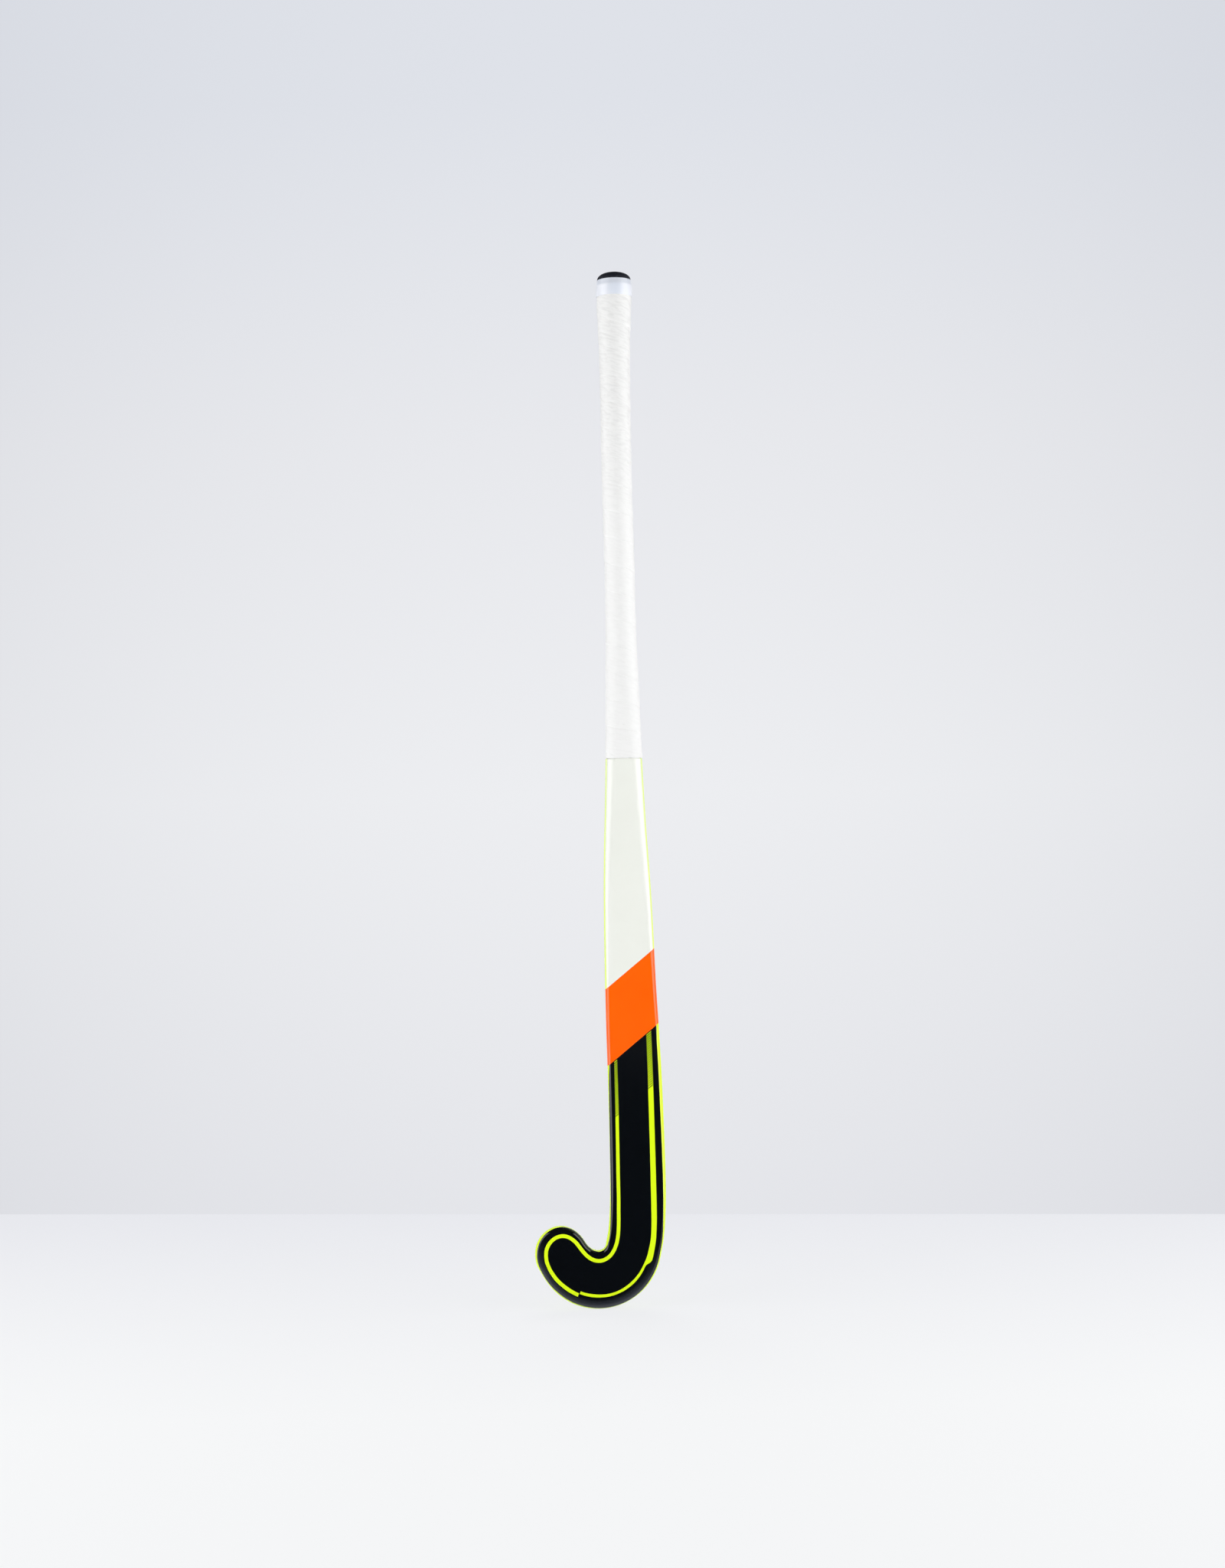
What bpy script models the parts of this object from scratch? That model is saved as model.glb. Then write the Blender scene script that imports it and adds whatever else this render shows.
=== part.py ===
"""Indoor hockey stick: a hollow composite stick with foam cores, a heel guard let into its edge,
a plugged and capped butt, and a wound grip held by a finishing tape.

Metres, +Z up the handle. The flat playing face looks along -Y and the toe points to -X.
The stick is drawn with its handle axis on X = 0 and its head just above Z = 0. At the end
everything is moved so that the origin is the middle of the footprint, at the base.
"""

import math

import bmesh
import bpy
from mathutils import Matrix, Vector

MM = 0.001

# Centre line of the head, seen on the face: a short toe leg, a hook, then the shaft.
TOE_LEG = 10.4 * MM
HOOK_RADIUS = 31.7 * MM
HOOK_CENTRE_X = -32.3 * MM
HOOK_CENTRE_Z = 58.0 * MM
HOOK_TOE_ANGLE = math.radians(-150)
HOOK_HEEL_ANGLE = math.radians(-10)

# How far the centre line lies outside that leg and arc, by distance from the toe's centre. The
# hook opens out towards the toe.
HEAD_DRIFT = [
    (0.0 * MM, 1.9 * MM),
    (5.0 * MM, 1.45 * MM),
    (10.4 * MM, 1.05 * MM),
    (16.0 * MM, 0.75 * MM),
    (22.0 * MM, 0.45 * MM),
    (30.0 * MM, 0.2 * MM),
    (46.0 * MM, -0.15 * MM),
    (60.0 * MM, -0.1 * MM),
    (74.0 * MM, 0.1 * MM),
    (88.0 * MM, 0.0 * MM),
]

# Half widths: round the head by distance from the toe's centre, up the shaft by height.
HEAD_HALF_WIDTH = [
    (0.0 * MM, 23.7 * MM),
    (5.0 * MM, 24.15 * MM),
    (10.4 * MM, 24.5 * MM),
    (17.0 * MM, 24.8 * MM),
    (24.0 * MM, 25.1 * MM),
    (32.0 * MM, 25.25 * MM),
    (88.0 * MM, 25.2 * MM),
]
SHAFT_HALF_WIDTH = [
    (52.0 * MM, 25.2 * MM),
    (84.0 * MM, 25.2 * MM),
    (122.0 * MM, 25.0 * MM),
    (204.0 * MM, 24.4 * MM),
    (245.0 * MM, 23.9 * MM),
    (289.0 * MM, 23.0 * MM),
    (335.0 * MM, 22.2 * MM),
    (371.0 * MM, 21.3 * MM),
    (404.0 * MM, 20.0 * MM),
    (436.0 * MM, 18.5 * MM),
    (485.0 * MM, 16.6 * MM),
    (492.4 * MM, 16.4 * MM),
    (493.0 * MM, 15.1 * MM),
    (510.0 * MM, 14.2 * MM),
    (543.0 * MM, 13.3 * MM),
    (576.0 * MM, 12.5 * MM),
    (592.0 * MM, 11.9 * MM),
    (634.0 * MM, 11.5 * MM),
    (790.0 * MM, 11.4 * MM),
    (839.0 * MM, 11.6 * MM),
    (867.0 * MM, 12.2 * MM),
    (884.0 * MM, 12.9 * MM),
    (898.0 * MM, 13.4 * MM),
    (912.2 * MM, 13.2 * MM),
]

# The toe's end isn't quite round: its reach from the toe's centre, by degrees from the outer edge.
TOE_REACH = [
    (0.0, 23.7 * MM),
    (18.0, 23.0 * MM),
    (36.0, 22.65 * MM),
    (63.0, 22.7 * MM),
    (90.0, 22.95 * MM),
    (108.0, 23.25 * MM),
    (126.0, 23.4 * MM),
    (144.0, 23.25 * MM),
    (162.0, 23.25 * MM),
    (180.0, 23.7 * MM),
]

# The shaft sways towards the heel above the hook, and the handle wavers a little.
SHAFT_SWAY = [
    (66.0 * MM, 1.7 * MM),
    (81.0 * MM, 3.2 * MM),
    (102.0 * MM, 4.15 * MM),
    (122.0 * MM, 4.4 * MM),
    (143.0 * MM, 4.35 * MM),
    (204.0 * MM, 3.6 * MM),
    (245.0 * MM, 2.6 * MM),
    (289.0 * MM, 1.6 * MM),
    (349.0 * MM, 0.85 * MM),
    (376.0 * MM, 0.5 * MM),
    (430.0 * MM, 0.0 * MM),
    (660.0 * MM, 0.0 * MM),
    (745.0 * MM, -0.7 * MM),
    (868.0 * MM, -0.2 * MM),
    (912.2 * MM, 0.5 * MM),
]

# Thickness from face to back, and how far the section has gone from flat-faced to oval.
SHAFT_DEPTH = [
    (52.0 * MM, 20.4 * MM),
    (204.0 * MM, 21.2 * MM),
    (335.0 * MM, 23.2 * MM),
    (436.0 * MM, 25.2 * MM),
    (492.4 * MM, 26.2 * MM),
    (493.0 * MM, 23.6 * MM),
    (592.0 * MM, 24.6 * MM),
    (839.0 * MM, 24.6 * MM),
    (898.0 * MM, 25.8 * MM),
    (912.2 * MM, 25.8 * MM),
]
TOE_DEPTH = 19.4 * MM
SECTION_ROUNDNESS = [
    (230.0 * MM, 0.0),
    (335.0 * MM, 0.14),
    (436.0 * MM, 0.42),
    (485.0 * MM, 0.6),
    (560.0 * MM, 0.9),
    (610.0 * MM, 1.0),
]
FACE_CORNER = 3.8 * MM
WIDEST_BEHIND_FACE = 5.6 * MM
BACK_FULLNESS = 2.3
LEAST_CORNER = 0.8 * MM
LEAST_WIDEST = 1.2 * MM

# Bow: the face is flat on the head, curves back to its deepest point, then runs to the butt.
BOW_DEPTH = 22.0 * MM
FLAT_HEAD_TOP = 80.0 * MM
BOW_DEEPEST = 230.0 * MM
BOW_CURVE_END = 450.0 * MM
SHELL_TOP = 912.2 * MM

WALL = 3.6 * MM
FIT = 0.3 * MM
CORE_SPLIT = 120.0 * MM
PLUG_BASE = 862.0 * MM

# Heel guard: a strip let flush into the edge, between two angles of the hook.
GUARD_TOE_ANGLE = math.radians(-114)
GUARD_HEEL_ANGLE = math.radians(-18)
GUARD_FACE_WIDTH = 9.4 * MM
GUARD_THICKNESS = 1.6 * MM
GUARD_BACK_STEPS = 3
CUTTER_PROUD = 2.0 * MM

# Butt cap: a spigot in the plug, a collar under the tape, and a dome with a small lip.
SPIGOT_RADIUS = 5.0 * MM
SPIGOT_BASE = 886.0 * MM
COLLAR_BASE = SHELL_TOP + FIT
COLLAR_RADIUS = 14.5 * MM
DOME_BASE = 919.5 * MM
DOME_RADIUS = 15.0 * MM
DOME_FULLNESS = 2.15
STICK_TOP = 926.6 * MM

# Grip: one strip wound left-handed up the handle, each turn's lower edge proud of the last.
GRIP_BASE = 493.4 * MM
GRIP_TOP = 912.0 * MM
GRIP_PITCH = 24.2 * MM
GRIP_TURN_GAP = 0.5 * MM
GRIP_LOWER_EDGE = 2.3 * MM
GRIP_MIDDLE = 2.1 * MM
GRIP_UPPER_EDGE = 1.75 * MM
GRIP_EDGE_ROUND = 0.8 * MM
GRIP_EDGE_DROP = 0.4 * MM
GRIP_TIP_HEIGHT = 1.5 * MM

# Finishing tape: a band over the end of the grip that steps in over the cap's collar.
TAPE_BASE = 904.4 * MM
TAPE_STEP = 914.6 * MM
TAPE_TOP = 919.1 * MM
TAPE_THICKNESS = 0.4 * MM

# Facets
CORNER_STEPS = 4
BACK_STEPS = 6
TOE_FAN_STEPS = 12
HOOK_STEP = math.radians(7)
CORE_HOOK_STEP = math.radians(14)
SHAFT_STEP = 24.0 * MM
CORE_SHAFT_STEP = 60.0 * MM
DOME_STEPS = 6
SHARP_ANGLE = math.radians(40)

# Printed panels on the face. The orange one has slanting borders that climb to the heel.
PANEL_SLOPE = math.tan(math.radians(39))
ORANGE_LOW = 231.7 * MM
ORANGE_HIGH = 301.2 * MM
FACE_NORMAL_LIMIT = -0.75
WHITE = (0.83, 0.87, 0.80)
ORANGE = (0.97, 0.14, 0.003)
BLACK = (0.004, 0.005, 0.008)
NEON = (0.68, 0.93, 0.012)


def clear_scene():
    for thing in list(bpy.data.objects):
        bpy.data.objects.remove(thing)


def follow(table, place):
    """A smooth value from (place, value) pairs that never overshoots a pair."""
    if place <= table[0][0]:
        return table[0][1]
    if place >= table[-1][0]:
        return table[-1][1]
    last = max(i for i in range(len(table) - 1) if table[i][0] <= place)

    def chord(i):
        return (table[i + 1][1] - table[i][1]) / (table[i + 1][0] - table[i][0])

    def slope(i):
        if i == 0:
            return chord(0)
        if i == len(table) - 1:
            return chord(i - 1)
        before, after = chord(i - 1), chord(i)
        if before * after <= 0:
            return 0.0
        return 2 * before * after / (before + after)

    span = table[last + 1][0] - table[last][0]
    t = (place - table[last][0]) / span
    rise = table[last + 1][1] - table[last][1]
    start, end = slope(last) * span, slope(last + 1) * span
    return (
        table[last][1]
        + start * t
        + (3 * rise - 2 * start - end) * t**2
        + (start + end - 2 * rise) * t**3
    )


def face_line(z):
    """How far back the playing face lies at a height, which is the bow of the stick."""
    head_slope = BOW_DEPTH / (FLAT_HEAD_TOP + (BOW_DEEPEST - FLAT_HEAD_TOP) / 2)
    if z < FLAT_HEAD_TOP:
        return head_slope * z
    if z < BOW_DEEPEST:
        left = (BOW_DEEPEST - z) / (BOW_DEEPEST - FLAT_HEAD_TOP)
        return BOW_DEPTH - (BOW_DEPTH - head_slope * FLAT_HEAD_TOP) * left**2
    curve = BOW_CURVE_END - BOW_DEEPEST
    leg_slope = BOW_DEPTH / (curve / 2 + SHELL_TOP - BOW_CURVE_END)
    if z < BOW_CURVE_END:
        return BOW_DEPTH - leg_slope * (z - BOW_DEEPEST) ** 2 / (2 * curve)
    return BOW_DEPTH - leg_slope * (z - BOW_CURVE_END + curve / 2)


class Station:
    """One place on the centre line, with the section that the stick has there."""

    def __init__(self, x, z, across_angle, half_width, depth, roundness, front=None):
        self.x = x
        self.z = z
        self.across = (math.cos(across_angle), math.sin(across_angle))
        self.half_width = half_width
        self.depth = depth
        self.roundness = roundness
        self.front = front

    def point(self, u, v):
        """u runs across towards the outer edge, v back from the face or from a fixed front."""
        z = self.z + u * self.across[1]
        front = face_line(z) if self.front is None else self.front
        return Vector((self.x + u * self.across[0], front + v, z))


def head_station(run):
    """A place on the toe's leg or on the hook, by distance from the toe's centre."""
    angle = HOOK_TOE_ANGLE + max(run - TOE_LEG, 0.0) / HOOK_RADIUS
    back = max(TOE_LEG - run, 0.0)
    reach = HOOK_RADIUS + follow(HEAD_DRIFT, run)
    return Station(
        HOOK_CENTRE_X + reach * math.cos(angle) + back * math.sin(angle),
        HOOK_CENTRE_Z + reach * math.sin(angle) - back * math.cos(angle),
        angle,
        follow(HEAD_HALF_WIDTH, run),
        TOE_DEPTH + (SHAFT_DEPTH[0][1] - TOE_DEPTH) * min(run / TOE_LEG, 1.0),
        0.0,
    )


def hook_station(angle):
    return head_station(TOE_LEG + HOOK_RADIUS * (angle - HOOK_TOE_ANGLE))


def shaft_sway(z):
    hook_end = (
        HOOK_CENTRE_Z + HOOK_RADIUS * math.sin(HOOK_HEEL_ANGLE),
        HOOK_CENTRE_X + HOOK_RADIUS * math.cos(HOOK_HEEL_ANGLE),
    )
    return follow([hook_end] + SHAFT_SWAY, z)


def shaft_station(z):
    lean = math.atan((shaft_sway(z + MM) - shaft_sway(z - MM)) / (2 * MM))
    return Station(
        shaft_sway(z),
        z,
        -lean,
        follow(SHAFT_HALF_WIDTH, z),
        follow(SHAFT_DEPTH, z),
        follow(SECTION_ROUNDNESS, z),
    )


def round_station(z, radius):
    """A round section on the butt's own centre, for the cap and the tape."""
    middle = face_line(SHELL_TOP) + follow(SHAFT_DEPTH, SHELL_TOP) / 2
    x = shaft_sway(SHELL_TOP)
    return Station(x, z, 0.0, radius, 2 * radius, 1.0, front=middle - radius)


def half_profile(station, grow=0.0):
    """(u, v) from the middle of the face, round the outer edge, to the middle of the back."""
    w = station.half_width + grow
    depth = station.depth + 2 * grow
    corner = max(FACE_CORNER + grow, LEAST_CORNER)
    widest = max(WIDEST_BEHIND_FACE + grow, LEAST_WIDEST)
    flat = [(0.0, 0.0)]
    oval = [(0.0, 0.0)]
    for step in range(CORNER_STEPS + 1):
        turn = math.pi / 2 * step / CORNER_STEPS
        flat.append((w - corner + corner * math.sin(turn), widest * (1 - math.cos(turn))))
        turn = math.pi / 2 * (step + 1) / (CORNER_STEPS + 1)
        oval.append((w * math.sin(turn), depth / 2 * (1 - math.cos(turn))))
    for step in range(1, BACK_STEPS + 1):
        turn = math.pi / 2 * step / BACK_STEPS
        full = 2 / BACK_FULLNESS
        flat.append(
            (
                w * math.cos(turn) ** full if step < BACK_STEPS else 0.0,
                widest + (depth - widest) * math.sin(turn) ** full,
            )
        )
        oval.append((w * math.cos(turn), depth / 2 * (1 + math.sin(turn))))
    oval[-1] = (0.0, depth)
    mix = station.roundness
    return [
        (a[0] + (b[0] - a[0]) * mix, a[1] + (b[1] - a[1]) * mix - grow)
        for a, b in zip(flat, oval)
    ]


def ring(station, grow=0.0):
    """The whole section as points: outer side first, then back along the inner side."""
    half = half_profile(station, grow)
    inner = [(-u, v) for u, v in reversed(half[1:-1])]
    return [station.point(u, v) for u, v in half + inner]


def ring_size():
    return 2 * (CORNER_STEPS + BACK_STEPS) + 2


def join_rings(bm, lower, upper):
    count = len(lower)
    for i in range(count):
        bm.faces.new((lower[i], lower[(i + 1) % count], upper[(i + 1) % count], upper[i]))


def loft(bm, rings):
    """Skins a row of rings and returns their vertices."""
    rows = [[bm.verts.new(point) for point in points] for points in rings]
    for lower, upper in zip(rows, rows[1:]):
        join_rings(bm, lower, upper)
    return rows


def toe_cap(bm, first_row, station, grow):
    """Closes the toe by turning the outer half of its section round to the inner half."""
    last = len(first_row) // 2
    front, back = first_row[0], first_row[last]
    outer = first_row[1:last]
    inner = list(reversed(first_row[last + 1 :]))
    strips = [outer]
    turn_start = math.atan2(station.across[1], station.across[0])
    for step in range(1, TOE_FAN_STEPS):
        turned = math.pi * step / TOE_FAN_STEPS
        reach = follow(TOE_REACH, math.degrees(turned))
        spoke = Station(station.x, station.z, turn_start - turned, reach, station.depth, 0.0)
        half = half_profile(spoke, grow)
        strips.append([bm.verts.new(spoke.point(u, v)) for u, v in half[1:last]])
    strips.append(inner)
    for this, following in zip(strips, strips[1:]):
        bm.faces.new((front, this[0], following[0]))
        bm.faces.new((back, following[-1], this[-1]))
        for i in range(len(this) - 1):
            bm.faces.new((this[i], this[i + 1], following[i + 1], following[i]))


def even_steps(start, end, step):
    count = max(1, math.ceil((end - start) / step - 1e-6))
    return [start + (end - start) * i / count for i in range(count + 1)]


def shaft_heights(start, end, step):
    """Heights at every pair of the width table, with even steps where pairs are far apart."""
    knots = [start] + [z for z, _ in SHAFT_HALF_WIDTH if start < z < end] + [end]
    heights = []
    for low, high in zip(knots, knots[1:]):
        heights += even_steps(low, high, step)[:-1]
    return heights + [end]


def head_stations(hook_step):
    toe = [head_station(TOE_LEG * i / 2) for i in range(2)]
    angles = even_steps(HOOK_TOE_ANGLE, HOOK_HEEL_ANGLE, hook_step)
    return toe + [hook_station(angle) for angle in angles]


def stick_stations(hook_step, heights):
    return head_stations(hook_step) + [shaft_station(z) for z in heights]


def finish_object(name, bm, colour, roughness):
    bmesh.ops.recalc_face_normals(bm, faces=bm.faces)
    mesh = bpy.data.meshes.new(name)
    bm.to_mesh(mesh)
    bm.free()
    mesh.shade_smooth()
    mesh.set_sharp_from_angle(angle=SHARP_ANGLE)
    mesh.materials.append(make_material(name, colour, roughness))
    thing = bpy.data.objects.new(name, mesh)
    bpy.context.scene.collection.objects.link(thing)
    return thing


def make_material(name, colour, roughness):
    material = bpy.data.materials.new(name)
    material.use_nodes = True
    shader = material.node_tree.nodes["Principled BSDF"]
    shader.inputs["Base Color"].default_value = (*colour, 1.0)
    shader.inputs["Roughness"].default_value = roughness
    shader.inputs["Metallic"].default_value = 0.0
    return material


def subtract(thing, cutter):
    cutter.hide_render = True
    cutter.display_type = "WIRE"
    cut = thing.modifiers.new("cut_" + cutter.name, "BOOLEAN")
    cut.operation = "DIFFERENCE"
    cut.object = cutter


def make_shell():
    """The laminate: an outer skin and a cavity that meet in a flat rim at the open butt."""
    bm = bmesh.new()
    first = HOOK_CENTRE_Z + HOOK_RADIUS * math.sin(HOOK_HEEL_ANGLE)
    outside = stick_stations(HOOK_STEP, shaft_heights(first, SHELL_TOP, SHAFT_STEP)[1:])
    inside = stick_stations(CORE_HOOK_STEP, shaft_heights(first, SHELL_TOP, CORE_SHAFT_STEP)[1:])
    outer_rows = loft(bm, [ring(station) for station in outside])
    toe_cap(bm, outer_rows[0], outside[0], 0.0)
    split_at_panels(bm)
    inner_rows = loft(bm, [ring(station, -WALL) for station in inside])
    toe_cap(bm, inner_rows[0], inside[0], -WALL)
    join_rings(bm, outer_rows[-1], inner_rows[-1])
    shell = finish_object("stick_shell", bm, NEON, 0.12)
    for name, colour in (("white_panel", WHITE), ("orange_panel", ORANGE), ("black_panel", BLACK)):
        shell.data.materials.append(make_material(name, colour, 0.12))
    paint_panels(shell.data)
    return shell


def panel_height(point):
    """Height measured along the slant, so that a panel's border has one value."""
    return point.z - PANEL_SLOPE * point.x


def split_at_panels(bm):
    """Cuts the outer skin along the orange panel's borders, for clean edges between colours."""
    for height in (ORANGE_LOW, ORANGE_HIGH):
        everything = bm.verts[:] + bm.edges[:] + bm.faces[:]
        normal = Vector((-PANEL_SLOPE, 0.0, 1.0))
        bmesh.ops.bisect_plane(
            bm, geom=everything, dist=0.01 * MM, plane_co=(0.0, 0.0, height), plane_no=normal
        )


def paint_panels(mesh):
    """Neon edges and back, with white, orange and black on the face from the top down."""
    neon, white, orange, black = range(4)
    for face in mesh.polygons:
        height = panel_height(face.center)
        on_face = face.normal.y < FACE_NORMAL_LIMIT
        if ORANGE_LOW < height < ORANGE_HIGH:
            face.material_index = orange
        elif on_face:
            face.material_index = white if height > ORANGE_HIGH else black
        else:
            face.material_index = neon


def make_core(name, stations, colour, has_toe=False):
    bm = bmesh.new()
    rows = loft(bm, [ring(station, -WALL - FIT) for station in stations])
    if has_toe:
        toe_cap(bm, rows[0], stations[0], -WALL - FIT)
    else:
        bm.faces.new(rows[0])
    bm.faces.new(rows[-1])
    return finish_object(name, bm, colour, 0.9)


def make_head_core():
    first = HOOK_CENTRE_Z + HOOK_RADIUS * math.sin(HOOK_HEEL_ANGLE)
    heights = shaft_heights(first, CORE_SPLIT - FIT, CORE_SHAFT_STEP)[1:]
    return make_core("head_core", stick_stations(CORE_HOOK_STEP, heights), (0.72, 0.56, 0.30), True)


def make_shaft_core():
    heights = shaft_heights(CORE_SPLIT, PLUG_BASE - FIT, CORE_SHAFT_STEP)
    return make_core("shaft_core", [shaft_station(z) for z in heights], (0.80, 0.72, 0.52))


def make_handle_plug():
    """A rigid plug bonded in the butt, with a blind bore for the cap's spigot."""
    heights = shaft_heights(PLUG_BASE, SHELL_TOP - FIT, CORE_SHAFT_STEP)
    plug = make_core("handle_plug", [shaft_station(z) for z in heights], (0.05, 0.05, 0.06))
    bm = bmesh.new()
    bore = [SPIGOT_BASE - FIT, STICK_TOP]
    rows = loft(bm, [ring(round_station(z, SPIGOT_RADIUS + FIT)) for z in bore])
    bm.faces.new(rows[0])
    bm.faces.new(rows[-1])
    subtract(plug, finish_object("plug_bore", bm, BLACK, 0.5))
    return plug


def guard_strip(name, angles, thickness, outside, margin):
    """A U-shaped strip round the hook's edge. It is the guard, or the cutter for its rebate."""
    bm = bmesh.new()
    last = 1 + CORNER_STEPS + GUARD_BACK_STEPS
    rings = []
    for angle in angles:
        station = hook_station(angle)
        over = half_profile(station, outside)[1 : last + 1]
        under = half_profile(station, -thickness)[1 : last + 1]
        face_edge = station.half_width - GUARD_FACE_WIDTH - margin
        over = [(face_edge, over[0][1])] + over[:-1] + [shift_along(over, margin)]
        under = [(face_edge, under[0][1])] + under[:-1] + [shift_along(under, margin)]
        rings.append([station.point(u, v) for u, v in over + under[::-1]])
    rows = loft(bm, rings)
    bm.faces.new(rows[0])
    bm.faces.new(rows[-1])
    return finish_object(name, bm, BLACK, 0.25)


def shift_along(path, distance):
    """The last point of a path, carried on by a distance in the direction of its last leg."""
    before, end = Vector(path[-2]), Vector(path[-1])
    return tuple(end + (end - before).normalized() * distance)


def make_heel_guard(shell):
    clearance = FIT / HOOK_RADIUS
    angles = even_steps(GUARD_TOE_ANGLE, GUARD_HEEL_ANGLE, HOOK_STEP)
    guard = guard_strip("heel_guard", angles, GUARD_THICKNESS, 0.0, 0.0)
    cut = [angles[0] - clearance] + angles[1:-1] + [angles[-1] + clearance]
    rebate = guard_strip("guard_rebate", cut, GUARD_THICKNESS + FIT, CUTTER_PROUD, FIT)
    subtract(shell, rebate)
    return guard


def dome_rings():
    """Rings of the cap's dome, a full quarter oval from its lip to just short of the crown."""
    rings = []
    for step in range(DOME_STEPS):
        turn = math.pi / 2 * step / DOME_STEPS
        radius = DOME_RADIUS * math.cos(turn) ** (2 / DOME_FULLNESS)
        height = DOME_BASE + (STICK_TOP - DOME_BASE) * math.sin(turn) ** (2 / DOME_FULLNESS)
        rings.append(ring(round_station(height, radius)))
    return rings


def make_butt_cap():
    bm = bmesh.new()
    outline = [
        (SPIGOT_BASE, SPIGOT_RADIUS - MM),
        (SPIGOT_BASE + MM, SPIGOT_RADIUS),
        (COLLAR_BASE, SPIGOT_RADIUS),
        (COLLAR_BASE, COLLAR_RADIUS),
        (DOME_BASE - FIT, COLLAR_RADIUS),
    ]
    rings = [ring(round_station(z, radius)) for z, radius in outline] + dome_rings()
    rows = loft(bm, rings)
    bm.faces.new(rows[0])
    crown = bm.verts.new(round_station(STICK_TOP, 0.0).point(0.0, 0.0))
    for i in range(len(rows[-1])):
        bm.faces.new((rows[-1][i], rows[-1][(i + 1) % len(rows[-1])], crown))
    return finish_object("butt_cap", bm, (0.012, 0.014, 0.022), 0.55)


def make_finishing_tape():
    """A closed band: up its outside, over its top edge and down its inside."""
    bm = bmesh.new()
    inner = GRIP_LOWER_EDGE + FIT
    outer = inner + TAPE_THICKNESS
    neck = COLLAR_RADIUS + FIT
    below = TAPE_STEP - FIT
    rings = [
        ring(shaft_station(TAPE_BASE), outer),
        ring(shaft_station(below), outer),
        ring(round_station(TAPE_STEP + TAPE_THICKNESS, neck + TAPE_THICKNESS)),
        ring(round_station(TAPE_TOP, neck + TAPE_THICKNESS)),
        ring(round_station(TAPE_TOP, neck)),
        ring(round_station(TAPE_STEP, neck)),
        ring(shaft_station(below), inner),
        ring(shaft_station(TAPE_BASE), inner),
    ]
    rows = loft(bm, rings)
    join_rings(bm, rows[-1], rows[0])
    return finish_object("finishing_tape", bm, (0.76, 0.81, 0.90), 0.35)


def grip_columns():
    """The strip's section at each column: points from its inner lower edge round to its inner top.

    Column phases follow the distance round the handle, so the strip climbs at an even slope.
    """
    count = ring_size()
    round_handle = ring(shaft_station((GRIP_BASE + GRIP_TOP) / 2))
    walked = [0.0]
    for i in range(count):
        walked.append(walked[-1] + (round_handle[-i] - round_handle[-i - 1]).length)
    columns = []
    column = 0
    while True:
        turn, index = divmod(column, count)
        climb = GRIP_PITCH * (turn + walked[index] / walked[-1])
        low = max(GRIP_BASE, GRIP_BASE + GRIP_TIP_HEIGHT + climb - GRIP_PITCH + GRIP_TURN_GAP)
        high = min(GRIP_TOP, GRIP_BASE + GRIP_TIP_HEIGHT + climb)
        if low > GRIP_TOP - GRIP_TIP_HEIGHT:
            return columns
        edge = min(GRIP_EDGE_ROUND, (high - low) / 3)
        section = [
            (low, FIT),
            (low, GRIP_LOWER_EDGE - GRIP_EDGE_DROP),
            (low + edge, GRIP_LOWER_EDGE),
            ((low + high) / 2, GRIP_MIDDLE),
            (high, GRIP_UPPER_EDGE),
            (high, FIT),
        ]
        columns.append([ring(shaft_station(z), grow)[-index] for z, grow in section])
        column += 1


def least_turn_gap(columns):
    """The least gap, on points, between a turn's lower edge and the turn below it."""
    count = ring_size()
    gaps = []
    for column in range(count, len(columns)):
        for above in columns[column][:3]:
            for below in columns[column - count][3:]:
                gaps.append((above - below).length)
    return min(gaps)


def make_grip_wrap():
    bm = bmesh.new()
    columns = grip_columns()
    rows = loft(bm, columns)
    bm.faces.new(rows[0])
    bm.faces.new(rows[-1])
    turns = len(columns) / ring_size()
    print(f"grip: {turns:.1f} turns, least gap between turns {least_turn_gap(columns) / MM:.2f} mm")
    return finish_object("grip_wrap", bm, (0.88, 0.88, 0.86), 0.65)


def stand_on_origin():
    """Moves every mesh so that the footprint's middle is over the origin, at the base."""
    parts = [thing for thing in bpy.data.objects if not thing.hide_render]
    corners = [vertex.co for thing in parts for vertex in thing.data.vertices]
    low = Vector([min(corner[i] for corner in corners) for i in range(3)])
    high = Vector([max(corner[i] for corner in corners) for i in range(3)])
    base = Vector(((low.x + high.x) / 2, (low.y + high.y) / 2, low.z))
    for thing in bpy.data.objects:
        thing.data.transform(Matrix.Translation(-base))
    print("drawn origin now at", [round(-value / MM, 2) for value in base])
    print("size in mm", [round(value / MM, 2) for value in high - low])


clear_scene()
stick_shell = make_shell()
make_heel_guard(stick_shell)
make_head_core()
make_shaft_core()
make_handle_plug()
make_butt_cap()
make_grip_wrap()
make_finishing_tape()
stand_on_origin()
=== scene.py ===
"""The looks of an indoor hockey stick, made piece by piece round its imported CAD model."""

import math

import bpy
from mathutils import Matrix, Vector, noise


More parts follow.
